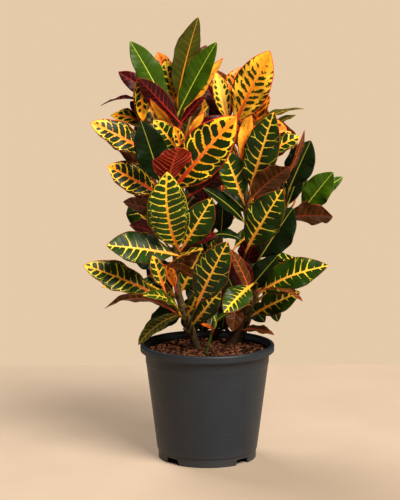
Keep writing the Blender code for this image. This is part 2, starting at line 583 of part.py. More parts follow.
def stem_tubes(paths, spare=0.0):
    """Each stem's tube with its straight end in the soil."""
    made = {}
    for name, (_points, (low, high), sides) in STEMS.items():
        x, y, foot = paths[name][0]
        path = np.vstack([[x, y, ROOT_Z], [x, y, foot + 5.5], paths[name][1:]])
        share = np.clip((path[:, 2] - foot) / (path[-1][2] - foot), 0, 1)
        made[name] = tube(path, low + (high - low) * share + spare, sides)
    return made


def stubs(paths):
    """The short cut-off shoots, each rooted in its stem's axis and sagging a little in the middle."""
    made = []
    for stem, height, end, radius in STUBS:
        root = stem_point(paths[stem], height)
        path = np.array([root, 0.5 * (root + np.array(end)) + (0, 0, -2), end], float)
        made.append((stem, tube(path, (radius, radius, radius), 6)))
    return made


# ---- turned shapes ---------------------------------------------------------------------------------
def turned(profile, segments):
    """A closed profile turned about the axis, in triangles. A point on the axis becomes one point."""
    points, rows = [], []
    turn = 2 * math.pi * (np.arange(segments) + 0.5) / segments
    for r, z in profile:
        many = segments if r else 1
        rows.append([len(points) + k % many for k in range(segments)])
        points += [(r * math.cos(a), r * math.sin(a), z) for a in turn[:many]]
    faces = []
    for low, high in zip(rows, rows[1:] + rows[:1]):
        for k in range(segments):
            m = (k + 1) % segments
            faces += [(low[k], low[m], high[m]), (low[k], high[m], high[k])]
    faces = [f for f in faces if len(set(f)) == 3]
    points = np.array(points, float)
    return points, facing_out(points, faces)


def pot_profile():
    """The pot's section: foot, straight wall, collar, rolled rim, then down the inside to the floor."""
    inside = COLLAR_LOW_RADIUS - WALL
    return [
        (FOOT_RADIUS, 0.0),
        (FOOT_RADIUS, FOOT_HEIGHT - 0.6),
        (BODY_BASE_RADIUS, FOOT_HEIGHT + 1.2),
        (COLLAR_LOW_RADIUS, COLLAR_Z - 1.5),
        (COLLAR_RADIUS, COLLAR_Z),
        (COLLAR_RADIUS + 0.5, COLLAR_TOP_Z),
        (RIM_RADIUS - RIM_LIP, COLLAR_TOP_Z + 1.0),
        (RIM_RADIUS - RIM_LIP, RIM_UNDER_Z),
        (RIM_RADIUS - 0.4, RIM_UNDER_Z),
        (RIM_RADIUS, RIM_UNDER_Z + 1.2),
        (RIM_RADIUS, RIM_TOP_Z - 3.0),
        (RIM_RADIUS - 0.9, RIM_TOP_Z - 1.0),
        (RIM_RADIUS - 2.8, RIM_TOP_Z),
        (RIM_INNER_RADIUS + 1.4, RIM_TOP_Z - 0.3),
        (RIM_INNER_RADIUS, RIM_TOP_Z - 2.2),
        (COLLAR_RADIUS + 0.5 - WALL, COLLAR_TOP_Z - 1.0),
        (COLLAR_RADIUS - WALL, COLLAR_Z + 1.0),
        (inside, COLLAR_Z - 3.0),
        (BODY_BASE_RADIUS - WALL, FOOT_HEIGHT + 2.0),
        (BODY_BASE_RADIUS - WALL - 1.5, FLOOR_Z + WALL),
        (0.0, FLOOR_Z + WALL),
        (0.0, FLOOR_Z),
        (FOOT_RADIUS - WALL - 0.6, FLOOR_Z),
        (FOOT_RADIUS - WALL, 0.0),
    ]


def guard_profile():
    """The space round the pot's rim and over the bark that the leaves stay out of."""
    outside = RIM_RADIUS + GUARD_MARGIN
    inside = RIM_INNER_RADIUS - GUARD_MARGIN
    return [
        (0.0, SOIL_Z + GUARD_RISE),
        (inside, SOIL_Z + GUARD_RISE),
        (inside, RIM_TOP_Z + GUARD_MARGIN),
        (outside, RIM_TOP_Z + GUARD_MARGIN),
        (outside, ROOT_Z),
        (0.0, ROOT_Z),
    ]


# ---- meshes ----------------------------------------------------------------------------------------
def add_mesh(name, points, faces):
    """An object with these points, given in millimetres, and faces."""
    mesh = bpy.data.meshes.new(name)
    mesh.from_pydata((np.asarray(points) * MM).tolist(), [], [tuple(f) for f in faces])
    mesh.validate()
    made = bpy.data.objects.new(name, mesh)
    bpy.context.scene.collection.objects.link(made)
    return made


def add_primitive(name, operator, matrix, **settings):
    """An object holding one of bmesh's primitives, placed by the matrix, in millimetres."""
    shell = bmesh.new()
    operator(shell, matrix=Matrix.Scale(MM, 4) @ matrix, **settings)
    mesh = bpy.data.meshes.new(name)
    shell.to_mesh(mesh)
    shell.free()
    made = bpy.data.objects.new(name, mesh)
    bpy.context.scene.collection.objects.link(made)
    return made


def rod(name, x, y, low, high, radius, sides):
    """A plain upright cylinder."""
    place = Matrix.Translation(Vector((x, y, 0.5 * (low + high))))
    return add_primitive(
        name, bmesh.ops.create_cone, place,
        cap_ends=True, segments=sides, radius1=radius, radius2=radius, depth=high - low,
    )


def notch(name, azimuth):
    """A block across the foot ring, narrower at its top, turned to this azimuth."""
    depth, low = 12.0, -1.0
    place = Matrix.Rotation(math.radians(azimuth), 4, "Z")
    place = place @ Matrix.Translation(Vector((FOOT_RADIUS, 0.0, 0.5 * (low + NOTCH_HEIGHT))))
    place = place @ Matrix.Diagonal(Vector((depth, NOTCH_WIDTH, NOTCH_HEIGHT - low, 1.0)))
    block = add_primitive(name, bmesh.ops.create_cube, place, size=1.0)
    turn = Vector((*around(azimuth + 90.0), 0.0))
    for vertex in block.data.vertices:
        if vertex.co.z > 0:
            vertex.co -= turn * vertex.co.dot(turn) * (1.0 - NOTCH_TAPER)
    return block


def combine(target, pieces, operation):
    """One Boolean of the target with all the pieces, applied, and the pieces removed."""
    group = bpy.data.collections.new(target.name + "_pieces")
    bpy.context.scene.collection.children.link(group)
    for piece in pieces:
        group.objects.link(piece)
        bpy.context.scene.collection.objects.unlink(piece)
    step = target.modifiers.new("combine", "BOOLEAN")
    step.operation = operation
    step.operand_type = "COLLECTION"
    step.collection = group
    step.solver = "MANIFOLD"
    bpy.context.view_layer.update()
    mesh = bpy.data.meshes.new_from_object(target.evaluated_get(bpy.context.evaluated_depsgraph_get()))
    target.modifiers.clear()
    target.data = mesh
    mesh.name = target.name
    for piece in pieces:
        bpy.data.objects.remove(piece, do_unlink=True)
    bpy.data.collections.remove(group)


def finish(target, colour, roughness):
    """The object's own Principled material, and smooth shading with its corners kept sharp."""
    look = bpy.data.materials.new(target.name + "_finish")
    look.use_nodes = True
    shader = look.node_tree.nodes["Principled BSDF"]
    shader.inputs["Base Color"].default_value = (*colour, 1.0)
    shader.inputs["Roughness"].default_value = roughness
    target.data.materials.clear()
    target.data.materials.append(look)
    target.data.shade_smooth()
    target.data.set_sharp_from_angle(angle=math.radians(35.0))


# ---- nodes -----------------------------------------------------------------------------------------
def build_pot():
    """The tapered pot: foot ring with notches, raised drained floor, straight wall, collar, rolled rim."""
    pot = add_mesh("pot", *turned(pot_profile(), POT_SEGMENTS))
    cuts = [notch(f"notch_{k}", azimuth) for k, azimuth in enumerate(NOTCH_AZIMUTHS)]
    for k, azimuth in enumerate(DRAIN_AZIMUTHS):
        x, y = around(azimuth, DRAIN_RING)
        cuts.append(rod(f"drain_{k}", x, y, FLOOR_Z - 2, FLOOR_Z + WALL + 2, DRAIN_RADIUS, 10))
    combine(pot, cuts, "DIFFERENCE")
    finish(pot, POT_COLOUR, 0.5)


def soil_height(x, y):
    """The top of the bark: a low mound with lumps from four crossed waves."""
    r = np.hypot(x, y)
    lumps = (
        np.sin(x * 0.31 + 1.3) * np.sin(y * 0.27 + 0.4)
        + 0.8 * np.sin(x * 0.53 - y * 0.41 + 2.1) * np.sin(y * 0.62 + x * 0.22)
    )
    return SOIL_Z + SOIL_MOUND * (1 - (r / RIM_INNER_RADIUS) ** 2) + CHIP_RELIEF * lumps


def soil_radius(z):
    """The bark's radius at this height: the pot's inside, less the gap, inside the flats of its wall."""
    inside = COLLAR_LOW_RADIUS - WALL
    zs = (FOOT_HEIGHT + 2.0, COLLAR_Z - 3.0, COLLAR_Z + 1.0, COLLAR_TOP_Z - 1.0)
    rs = (BODY_BASE_RADIUS - WALL, inside, COLLAR_RADIUS - WALL, COLLAR_RADIUS + 0.5 - WALL)
    return float(np.interp(z, zs, rs)) * math.cos(math.pi / POT_SEGMENTS) - SOIL_GAP


def build_soil(paths):
    """The potting bark: a lumpy top, sides that follow the wall, and a plain hole for each stem."""
    floor = FLOOR_Z + WALL + 0.4
    levels = [(soil_radius(SOIL_Z) * i / SOIL_RINGS, None) for i in range(1, SOIL_RINGS)]
    levels.append((soil_radius(SOIL_Z), SOIL_Z - SOIL_EDGE_DROP))
    levels.append((soil_radius(COLLAR_Z - 3.0), COLLAR_Z - 3.0))
    levels.append((soil_radius(FOOT_HEIGHT + 3.0), FOOT_HEIGHT + 3.0))
    levels.append((soil_radius(FOOT_HEIGHT + 3.0) - WALL, floor))
    points, rows = [], []
    for i, (r, z) in enumerate(levels):
        half_step = 0.5 * (i % 2 == 0 and i < SOIL_RINGS)
        turn = 2 * math.pi * (np.arange(SOIL_SEGMENTS) + half_step) / SOIL_SEGMENTS
        x, y = r * np.cos(turn), r * np.sin(turn)
        heights = soil_height(x, y) if z is None else np.full(SOIL_SEGMENTS, z)
        rows.append(range(len(points), len(points) + SOIL_SEGMENTS))
        points += list(zip(x, y, heights))
    top, bottom = len(points), len(points) + 1
    points += [(0, 0, float(soil_height(0.0, 0.0))), (0, 0, floor)]
    faces = []
    for k in range(SOIL_SEGMENTS):
        m = (k + 1) % SOIL_SEGMENTS
        faces += [(top, rows[0][m], rows[0][k]), (bottom, rows[-1][k], rows[-1][m])]
        for low, high in zip(rows, rows[1:]):
            faces += [(low[k], low[m], high[m]), (low[k], high[m], high[k])]
    soil = add_mesh("soil", points, facing_out(points, faces))
    holes = []
    for name, (_points, (low, _high), sides) in STEMS.items():
        x, y = paths[name][0][:2]
        radius = (low + HOLE_GAP) / math.cos(math.pi / (2 * sides))
        holes.append(rod(name + "_hole", x, y, ROOT_Z - 0.5, SOIL_Z + 20, radius, 2 * sides))
    combine(soil, holes, "DIFFERENCE")
    finish(soil, BARK_COLOUR, 0.95)


def build_stems(paths, leaves):
    """Each stem with its stubs and leaves fused into one solid."""
    cut_ends = stubs(paths)
    for name, (points, faces) in stem_tubes(paths).items():
        stem = add_mesh(name, points, faces)
        pieces = [add_mesh(f"{name}_stub_{k}", *s) for k, (n, s) in enumerate(cut_ends) if n == name]
        for leaf in leaves:
            if leaf.stem == name:
                pieces.append(add_mesh("leaf_" + leaf.name, *leaf.solid(root_of(leaf, paths[name]))))
        combine(stem, pieces, "UNION")
        finish(stem, LEAF_COLOUR if name != "seedling" else SHOOT_COLOUR, 0.35)


def stand_on_origin():
    """Hangs every node on an empty, placed so that the middle of the whole box is over the origin."""
    nodes = [o for o in bpy.context.scene.objects if o.type == "MESH"]
    points = []
    for node in nodes:
        co = np.empty(len(node.data.vertices) * 3)
        node.data.vertices.foreach_get("co", co)
        points.append(co.reshape(-1, 3))
    box = np.vstack(points)
    plant = bpy.data.objects.new("croton", None)
    plant.location = (*((box.min(axis=0) + box.max(axis=0))[:2] / -2), 0.0)
    bpy.context.scene.collection.objects.link(plant)
    for node in nodes:
        node.parent = plant


def main():
    """Builds the pot, the bark and the leafy stems."""
    for old in list(bpy.data.objects):
        bpy.data.objects.remove(old, do_unlink=True)
    paths = stem_paths()
    build_pot()
    build_soil(paths)
    build_stems(paths, place_leaves(paths))
    stand_on_origin()


if __name__ == "__main__":
    main()
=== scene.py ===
"""The looks of a potted croton: fine leaves, woody stems, potting bark, nursery pot and a plain studio.

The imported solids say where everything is. Each leaf is found again in its stem's solid, and its blade is
then worked out from the same formula on a much finer grid, with its veins, net and margin as a material
that follows the blade. Lengths in the tables are millimetres from the pot's axis at its base.
"""

import logging
import math
from dataclasses import dataclass, field, replace
from enum import Enum
from functools import cache
from typing import Iterator, Optional, Sequence, Union

import bpy
import numpy as np
from mathutils import Matrix, Vector
from mathutils.kdtree import KDTree

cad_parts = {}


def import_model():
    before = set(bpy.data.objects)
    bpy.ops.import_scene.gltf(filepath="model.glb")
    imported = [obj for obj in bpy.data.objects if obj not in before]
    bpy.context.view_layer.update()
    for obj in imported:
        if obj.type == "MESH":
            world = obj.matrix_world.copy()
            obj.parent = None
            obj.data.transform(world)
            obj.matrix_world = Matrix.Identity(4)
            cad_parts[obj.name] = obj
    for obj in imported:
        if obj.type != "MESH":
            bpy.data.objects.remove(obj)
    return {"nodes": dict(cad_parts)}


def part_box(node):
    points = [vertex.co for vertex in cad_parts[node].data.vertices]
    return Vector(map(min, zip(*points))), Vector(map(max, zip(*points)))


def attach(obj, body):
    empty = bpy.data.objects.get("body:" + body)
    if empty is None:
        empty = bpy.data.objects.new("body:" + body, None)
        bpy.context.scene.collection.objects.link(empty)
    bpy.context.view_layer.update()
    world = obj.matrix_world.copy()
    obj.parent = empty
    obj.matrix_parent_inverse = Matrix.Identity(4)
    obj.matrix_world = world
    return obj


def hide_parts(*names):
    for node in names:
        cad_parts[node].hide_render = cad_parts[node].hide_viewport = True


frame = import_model()

log = logging.getLogger("croton")
Array = np.ndarray
Arrays = dict[str, Array]
Triple = tuple[float, float, float]
Material = bpy.types.Material
Piece = bpy.types.Object
MM = 0.001

# ---- leaf form, as in the solids ----
BLADE_THICK = 0.9
BASE_THICK = 2.1
END_HALVES = np.array([[BASE_THICK], [BLADE_THICK]]) / 2
BASE_GRIP = 1.7
BASE_POWER = 0.95
TIP_POWER = 0.88
WIDEST = BASE_POWER / (BASE_POWER + TIP_POWER)
FOLD = 15.0
CURL = 0.10
WAVE = 0.055
WAVES_ALONG = 2.6
WAVE_SHIFT = 0.21
PETIOLE_RADIUS = 1.9
PETIOLE_FLARE = 1.15
THIN_WIDTH = 20.0
THIN_PETIOLE = 0.7
PETIOLE_BEND = 0.45
PETIOLE_DROP = 8.0
PETIOLE_SLOPE = 0.6
PHASE_STEP = 0.37
STEM_FOOT_ROOM = 12.0
STEM_TOP_ROOM = 3.0

# ---- the moves that the solids' leaves may have made to keep clear of each other ----
START_DEPTHS = (-21.0, -14.0, -7.0, 0.0, 7.0, 14.0, 21.0)
TIP_DEPTHS = (-44.0, -33.0, -22.0, -11.0, 0.0, 11.0, 22.0, 33.0, 44.0)
TIP_RISES = (-12.0, -6.0, 0.0, 6.0, 12.0)
SIZES = (1.0, 0.9, 0.78)
FAR_SIZES = (1.0, 0.8)

# ---- tables ----
# Each stem: its lowest and highest radius, and its path from the soil up.
STEMS = {
    "left_stem": (6.2, 3.6,
        (-15, 5, 170), (-32, 0, 217), (-46, -5, 266), (-49, -8, 330), (-49, 0, 430), (-45, 8, 545),
    ),
    "centre_stem": (6.0, 3.4,
        (14, 75, 170), (11, 62, 238), (18, 46, 306), (21, 38, 350), (20, 36, 400), (10, 38, 466),
        (2, 38, 530),
    ),
    "right_stem": (7.0, 3.3,
        (38, 42, 170), (55, 40, 213), (66, 30, 260), (64, 20, 333), (60, 15, 415), (51, 20, 525),
    ),
    "side_stem": (4.8, 2.8,
        (52, 58, 170), (68, 60, 212), (90, 48, 289), (114, 32, 363), (128, 22, 419), (134, 16, 450),
    ),
    "seedling": (1.7, 1.3, (-2, -30, 170), (3, -34, 190), (8, -38, 208), (12, -42, 222)),
}

# Short cut-off shoots: the stem they grow from, the height they leave it, and where their cut end is.
STUBS = (
    ("centre_stem", 176, (20, 52, 190), 3.4),
    ("right_stem", 182, (30, 34, 197), 3.0),
    ("left_stem", 196, (-36, -10, 206), 2.6),
)

# Each leaf: name, look, start of the blade, tip, width, the way its upper face looks, its bow and its
# sideways bow as shares of its length. What a row leaves out at its end is as here.
USUAL_FORM = ((0, -1, 0.2), 0.05, 0.0)

LEFT_LEAVES = (
    ("ladder", "ladder", (-45, -60, 341), (-60, -118, 463), 66, (0, -1, 0.35), 0.06, -0.06),
    ("hero", "hero", (-52, -62, 431), (43, -108, 545), 73, (-0.1, -1, 0.2), 0.03),
    ("red_ribbed", "red", (-60, -78, 442), (-42, -146, 500), 62, (-0.25, 0.55, 0.8)),
    ("rib_left", "rib", (-52, -55, 331), (-152, -92, 349), 58, (0.1, -0.8, 0.6), 0.03),
    ("rib_low_left", "net", (-86, -45, 269), (-189, -62, 314), 50, (0.1, -0.8, 0.55)),
    ("rib_centre", "rib", (-37, -55, 341), (7, -75, 419), 49, (0.1, -1, 0.2)),
    ("rib_front", "forked", (-14, -74, 260), (30, -128, 361), 56, (-0.1, -1, 0.25)),
    ("gold_left", "gold_net", (-88, -25, 479), (-177, -50, 530), 48, (0.2, -0.9, 0.5), 0.06),
    ("gold_net_left", "gold_net", (-78, -25, 421), (-152, -45, 464), 51, (0.1, -0.9, 0.45), 0.03),
    ("spire", "olive", (-46, 5, 562), (-14, -5, 687), 47, (-0.55, 0.82, 0.1), 0.03),
    ("fresh_left", "fresh", (-63, -15, 552), (-117, -36, 652), 43, (0.35, -1, 0.2), 0.04),
    ("fresh_right", "fresh", (-43, -25, 545), (14, -46, 651), 40, (-0.4, -1, 0.1), 0.04),
    ("wine_front", "maroon", (-45, -36, 532), (-104, -66, 598), 32, (-0.2, 0.9, 0.3), 0.04),
    ("wine_left", "maroon", (-70, 25, 558), (-138, 35, 602), 31, (0, -1, 0.3)),
    ("plain_green", "plain", (-71, -52, 441), (-100, -78, 536), 51, (0.1, -1, 0.2)),
    ("folded_gold", "gold", (-40, -14, 525), (24, 0, 625), 26, (-0.5, 0.8, 0.3)),
    ("top_sunset", "sunset", (-58, 32, 574), (-77, 45, 632), 34),
    ("dark_red_blade", "maroon", (-38, 32, 584), (-1, 42, 643), 23, (-0.3, -1, 0.1)),
    ("net_edge", "gold_net", (-99, -10, 606), (-98, -42, 530), 28, (-0.3, -1, 0.2), 0.04),
    ("net_band", "net", (-40, -32, 482), (-82, -50, 534), 36, (0.1, -1, 0.2)),
    ("net_point", "net", (-92, -8, 560), (-76, -30, 518), 24, (0.2, -1, 0.2)),
    ("net_slip", "gold_net", (-38, -36, 487), (-51, -52, 526), 20, (0.2, -1, 0.2)),
    ("rolled_orange", "gold", (-48, -24, 518), (-87, -40, 566), 18, (-0.6, -0.7, 0.3)),
    ("far_left_edge", "maroon", (-86, 20, 551), (-166, 40, 549), 28, (0, -0.1, 1), 0.14),
    ("wine_low", "maroon", (-84, 15, 530), (-120, 25, 556), 28, (0, -0.7, 0.7)),
    ("gold_small", "gold_net", (-89, 20, 517), (-150, 30, 535), 34, (0.1, -0.7, 0.75), 0.12),
    ("under_gold", "brown", (-73, -18, 422), (-162, -34, 508), 34, (0.6, -0.45, 0.65)),
    ("orange_slip", "gold", (-31, -28, 510), (-5, -40, 545), 15, (0.3, -1, 0.1), 0.06),
    ("wine_slip", "maroon", (-42, -18, 524), (-4, -20, 569), 16, (-0.5, -0.8, 0.2), 0.04),
    ("wine_behind", "maroon", (-36, -14, 500), (32, -12, 536), 32, (-0.2, -1, 0.2)),
    ("brown_left", "brown", (-66, 20, 380), (-132, 35, 399), 36, (0, 0.85, 0.5)),
    ("maroon_left", "maroon", (-58, 0, 344), (-121, 0, 367), 36, (0, 0.8, 0.6), 0.08),
    ("rib_small", "net", (-67, -80, 284), (-83, -96, 335), 24, (0.1, -1, 0.2)),
    ("dark_low_left", "net", (-103, 25, 259), (-167, 30, 264), 26, (0, -0.4, 0.9), 0.08),
    ("brown_fold", "brown", (-4, -48, 278), (-68, -92, 318), 34, (0.1, 0.4, 0.9), 0.1),
    ("edge_green", "net", (-50, -62, 322), (-6, -84, 342), 26, (0, -0.3, 1)),
    ("droop_brown", "brown", (-54, -20, 236), (-157, -56, 246), 43, (0, 0.55, 0.8), 0.18),
    ("bright_arch", "bright", (-44, -36, 238), (-98, -78, 270), 30, (0.2, -0.5, 0.85), 0.16),
    ("brown_small", "brown", (-60, -12, 266), (-93, -40, 294), 23, (0.2, -0.2, 0.95), 0.08),
    ("orange_small", "sunset", (-50, -28, 274), (-64, -46, 313), 20, (0.5, -0.8, 0.2)),
    ("low_rib_a", "rib", (-28, -30, 236), (-14, -54, 274), 23, (0.3, -1, 0.2)),
    ("low_rib_b", "rib", (-18, -36, 223), (20, -72, 277), 36, (0, -1, 0.3), 0.06),
)
RIGHT_LEAVES = (
    ("gold_crown", "gold", (44, -6, 528), (94, -42, 638), 60, (-0.15, -1, 0.2), 0.04),
    ("rib_tall", "forked", (66, -30, 428), (99, -76, 548), 55, (-0.1, -1, 0.25), 0.04),
    ("rib_right", "rib", (62, -52, 341), (112, -95, 434), 59, (-0.1, -1, 0.3)),
    ("rib_far_right", "rib", (84, -32, 268), (183, -78, 316), 53, (-0.15, -0.85, 0.5), 0.13),
    ("dark_rib", "rib", (53, -20, 412), (24, -50, 489), 47, (0.1, -1, 0.2)),
    ("plain_behind", "plain", (82, -16, 319), (131, -36, 399), 60, (-0.1, -1, 0.3)),
    ("front_bright", "bright_rib", (64, -76, 284), (24, -132, 254), 41, (0.1, -0.75, 0.65)),
    ("pale_gold", "pale", (30, 4, 531), (12, 0, 604), 30, (0.3, -1, 0.1)),
    ("sunset_behind", "sunset", (30, 25, 548), (52, 35, 609), 38),
    ("behind_left", "brown", (40, 30, 546), (15, 42, 604), 30),
    ("gold_a", "gold", (52, -4, 468), (66, 4, 545), 24, (-0.2, -1, 0.1)),
    ("gold_b", "gold", (55, -20, 462), (83, -30, 530), 24, (-0.3, -1, 0.1)),
    ("olive_edge", "olive", (60, 15, 505), (151, 44, 544), 30, (0, -0.1, 1), 0.11),
    ("olive_tip", "olive", (80, 30, 500), (139, 50, 534), 24, (0, -0.25, 1), 0.07),
    ("sunset_tip", "sunset", (78, 18, 520), (123, 20, 515), 26, (0, -0.9, 0.4), 0.06),
    ("brown_right", "brown", (67, -36, 413), (122, -70, 466), 47, (0.15, 0.6, 0.75), 0.06),
    ("shade_a", "plain", (58, 0, 371), (-7, -44, 430), 28, (0.4, -0.7, 0.6), 0.06),
    ("shade_b", "plain", (62, 6, 384), (22, -10, 421), 23, (0.4, -0.7, 0.6), 0.06),
    ("narrow_red", "brown", (66, -40, 267), (33, -64, 340), 24, (0.5, -0.8, 0.3)),
    ("shade_maroon", "maroon", (64, -14, 266), (39, -40, 326), 36),
    ("blue_green", "plain", (65, -14, 267), (108, -36, 325), 36, (-0.1, -1, 0.3)),
    ("slip_low", "sunset", (59, -44, 250), (30, -80, 240), 16, (0, -0.4, 0.9), 0.08),
    ("rib_low_right", "rib", (77, -6, 230), (143, -36, 268), 41, (0, -0.9, 0.45), 0.07),
    ("brown_fold_right", "brown", (84, -44, 276), (142, -72, 268), 22, (0, 0.1, 1), 0.1),
    ("pointing_down", "plain", (100, 20, 244), (111, 16, 211), 20, (0.2, -1, 0.2)),
    ("lying", "brown", (54, 40, 193), (106, 26, 188), 26, (0, -0.3, 0.95), 0.1),
)
SIDE_LEAVES = (
    ("round_green", "plain", (127, -10, 427), (157, -36, 502), 47, (-0.1, -1, 0.2)),
    ("fresh_side", "fresh", (147, -6, 391), (192, -30, 453), 45, (-0.2, -1, 0.2), 0.04),
    ("pink_rib", "brown", (124, -12, 381), (190, -54, 388), 48, (0, 0.85, 0.5)),
    ("upright_fold", "brown", (121, -34, 446), (146, -52, 519), 17, (0.75, -0.65, 0.2), 0.04),
    ("dark_edge", "net", (96, 12, 478), (143, 12, 503), 34, (-0.3, -0.75, 0.6), 0.06),
    ("fresh_behind", "fresh", (165, 25, 407), (212, 30, 439), 21, (-0.3, -1, 0.2), 0.04),
    ("side_dark", "plain", (126, 14, 400), (144, 10, 452), 26),
)
CENTRE_LEAVES = (
    ("wine_upright", "maroon", (28, 10, 528), (-5, 15, 585), 28, (0.2, -1, 0.2)),
    ("arched_small", "plain", (6, -8, 350), (53, -28, 347), 23, (0, -0.5, 0.85), 0.16),
)
SEEDLING_LEAVES = (
    ("seed_leaf_a", "fresh", (14, -44, 224), (34, -58, 240), 11, (0, -0.7, 0.7), 0.08),
    ("seed_leaf_b", "sunset", (8, -44, 212), (-10, -58, 222), 9, (0, -0.7, 0.7), 0.08),
    ("seed_leaf_c", "fresh", (13, -36, 220), (6, -22, 240), 10, (0.2, -0.8, 0.4), 0.08),
)

# The leaves inside the plant and behind the front ones.
INNER_LEFT_LEAVES = (
    ("skirt_front", "dusk", (-42, -2, 226), (-107, -32, 184), 34, (-0.3, -0.5, 0.8), 0.12),
    ("skirt_back", "plain", (-36, 24, 232), (-90, 16, 200), 44, (-0.3, -0.75, 0.6), 0.08),
    ("mid_a", "plain", (-38, 14, 424), (18, 4, 458), 42, (0.1, -1, 0.3)),
    ("waist_a", "maroon", (-34, -16, 338), (14, -34, 356), 32, (0, -0.6, 0.8), 0.06),
    ("waist_b", "rib", (-40, 14, 262), (-8, 2, 330), 46),
    ("waist_c", "plain", (-56, 12, 262), (-92, 6, 318), 42, (0, -1, 0.3)),
    ("crown_a", "net", (-60, 10, 504), (-96, 8, 570), 40, (-0.1, -1, 0.2)),
    ("crown_b", "net", (-50, 24, 556), (-66, 26, 620), 34),
    ("base_i", "plain", (-34, 20, 236), (-18, 20, 194), 34, (0, -1, 0.3)),
    ("waist_k", "brown", (-46, 8, 300), (-20, -6, 338), 34),
    ("left_a", "brown", (-70, 10, 400), (-122, 6, 440), 40, (0, -0.9, 0.4), 0.06),
    ("left_b", "plain", (-66, 8, 300), (-120, 0, 330), 42, (0, -0.9, 0.5), 0.06),
    ("left_c", "plain", (-60, 20, 470), (-118, 16, 500), 42, (0, -0.9, 0.4), 0.06),
)
INNER_CENTRE_LEAVES = (
    ("base_a", "plain", (2, 52, 250), (-40, 66, 204), 38, (0, -1, 0.3)),
    ("base_b", "brown", (24, 62, 252), (42, 84, 204), 36, (0, -1, 0.3)),
    ("base_c", "plain", (12, 34, 232), (4, 10, 200), 22, (0, -1, 0.3)),
    ("base_d", "plain", (4, 46, 234), (-4, 26, 284), 38),
    ("base_f", "plain", (0, 48, 236), (-8, 32, 190), 36, (0, -1, 0.3)),
    ("base_g", "plain", (30, 50, 240), (24, 32, 192), 38, (0, -1, 0.3)),
    ("base_j", "plain", (2, 44, 238), (-34, 28, 268), 34),
    ("waist_j", "plain", (22, 32, 350), (25, 8, 408), 36),
    ("mid_b", "maroon", (-2, 30, 400), (-28, 10, 462), 40),
    ("mid_c", "plain", (0, 34, 440), (40, 16, 480), 42, (0, -1, 0.3)),
    ("waist_d", "plain", (-6, 36, 318), (-22, 14, 392), 46),
    ("waist_e", "maroon", (10, 48, 262), (16, 18, 330), 44),
    ("crown_c", "maroon", (6, 30, 520), (36, 10, 566), 36),
)
INNER_RIGHT_LEAVES = (
    ("base_e", "plain", (56, 48, 240), (92, 62, 206), 32, (0.1, -0.8, 0.5), 0.06),
    ("base_h", "brown", (46, 32, 238), (40, 14, 196), 30, (0, -1, 0.3)),
    ("waist_f", "plain", (52, 34, 236), (30, 6, 290), 40),
    ("waist_g", "maroon", (60, 26, 300), (76, -2, 352), 40),
    ("right_a", "rib", (86, 14, 250), (140, -8, 292), 40, (0, -0.9, 0.4), 0.06),
    ("right_b", "net", (84, 26, 466), (130, 24, 510), 38, (0, -0.9, 0.4), 0.06),
    ("right_c", "brown", (74, 16, 400), (112, 2, 450), 42, (0, -1, 0.3)),
)
INNER_SIDE_LEAVES = (
    ("side_a", "rib", (110, 40, 388), (136, 30, 450), 44),
    ("side_b", "plain", (104, 30, 330), (120, 12, 388), 40, (0.1, -1, 0.2)),
)

# The leaves of the front and of the inside, in the order in which they were placed.
DRAWN = (
    ("left_stem", LEFT_LEAVES),
    ("right_stem", RIGHT_LEAVES),
    ("side_stem", SIDE_LEAVES),
    ("centre_stem", CENTRE_LEAVES),
    ("seedling", SEEDLING_LEAVES),
    ("left_stem", INNER_LEFT_LEAVES),
    ("centre_stem", INNER_CENTRE_LEAVES),
    ("right_stem", INNER_RIGHT_LEAVES),
    ("side_stem", INNER_SIDE_LEAVES),
)

# The far side, which fills by rule: stem, lowest and highest leaf, number of leaves, first azimuth.
FAR_SIDE = (
    ("centre_stem", 240, 512, 22, 95.0),
    ("left_stem", 236, 515, 12, 130.0),
    ("right_stem", 236, 495, 10, 60.0),
    ("side_stem", 270, 430, 6, 40.0),
)
GOLDEN_ANGLE = 137.508
FAR_LENGTH = (104.0, 140.0)
FAR_WIDTH = (44.0, 58.0)
FAR_RISE = (6.0, 62.0)
FAR_FACE_UP = (1.1, 0.2)
FAR_LOW = ("rib", "plain", "net", "rib", "bright_rib")
FAR_HIGH = ("gold_net", "sunset", "net", "maroon", "gold", "rib")
# How far out a tip may reach at each height, how high, how much further on the right, and the gap
# between the stems that stays open.
FAR_REACH = ((200, 85), (265, 135), (310, 145), (345, 110), (380, 118), (440, 145), (520, 112), (600, 60))
FAR_TOP = 612.0
FAR_RIGHT_ROOM = 8.0
FAR_GAP = ((5.0, 78.0), (312.0, 402.0))
FAR_SEED = 11
# The start of a far leaf from its stem, how its tilt, length and bow change upwards, and where the
# high looks begin.
FAR_DROP = 10
FAR_OUT = 26.0
FAR_UP = 14.0
FAR_TILT_DRAW = 6
FAR_SHORTER = 0.15
FAR_BOW = 0.09
FAR_BOW_FALL = 0.05
FAR_HIGH_FROM = 0.55


# ---- small helpers ----
def unit(v: Sequence[float] | Array) -> Array:
    """Returns the vector at length one."""
    v = np.asarray(v, float)
    return v / np.linalg.norm(v)


def units(rows: Array) -> Array:
    """Returns each row at length one."""
    return rows / np.linalg.norm(rows, axis=1, keepdims=True)


def circle(count: int) -> Array:
    """Returns the angles of this many points evenly round a circle."""
    return 2 * math.pi * np.arange(count) / count


def around(azimuth: float, radius: float = 1.0) -> Array:
    """Returns the level point at this azimuth, in degrees, and radius."""
    turn = math.radians(azimuth)
    return np.array([radius * math.cos(turn), radius * math.sin(turn), 0.0])


def srgb(red: float, green: float, blue: float) -> Triple:
    """Returns a colour given on the usual 0 to 255 scale as linear light."""
    shares = (np.array([red, green, blue]) / 255.0 + 0.055) / 1.055
    return tuple(float(x) for x in shares**2.4)


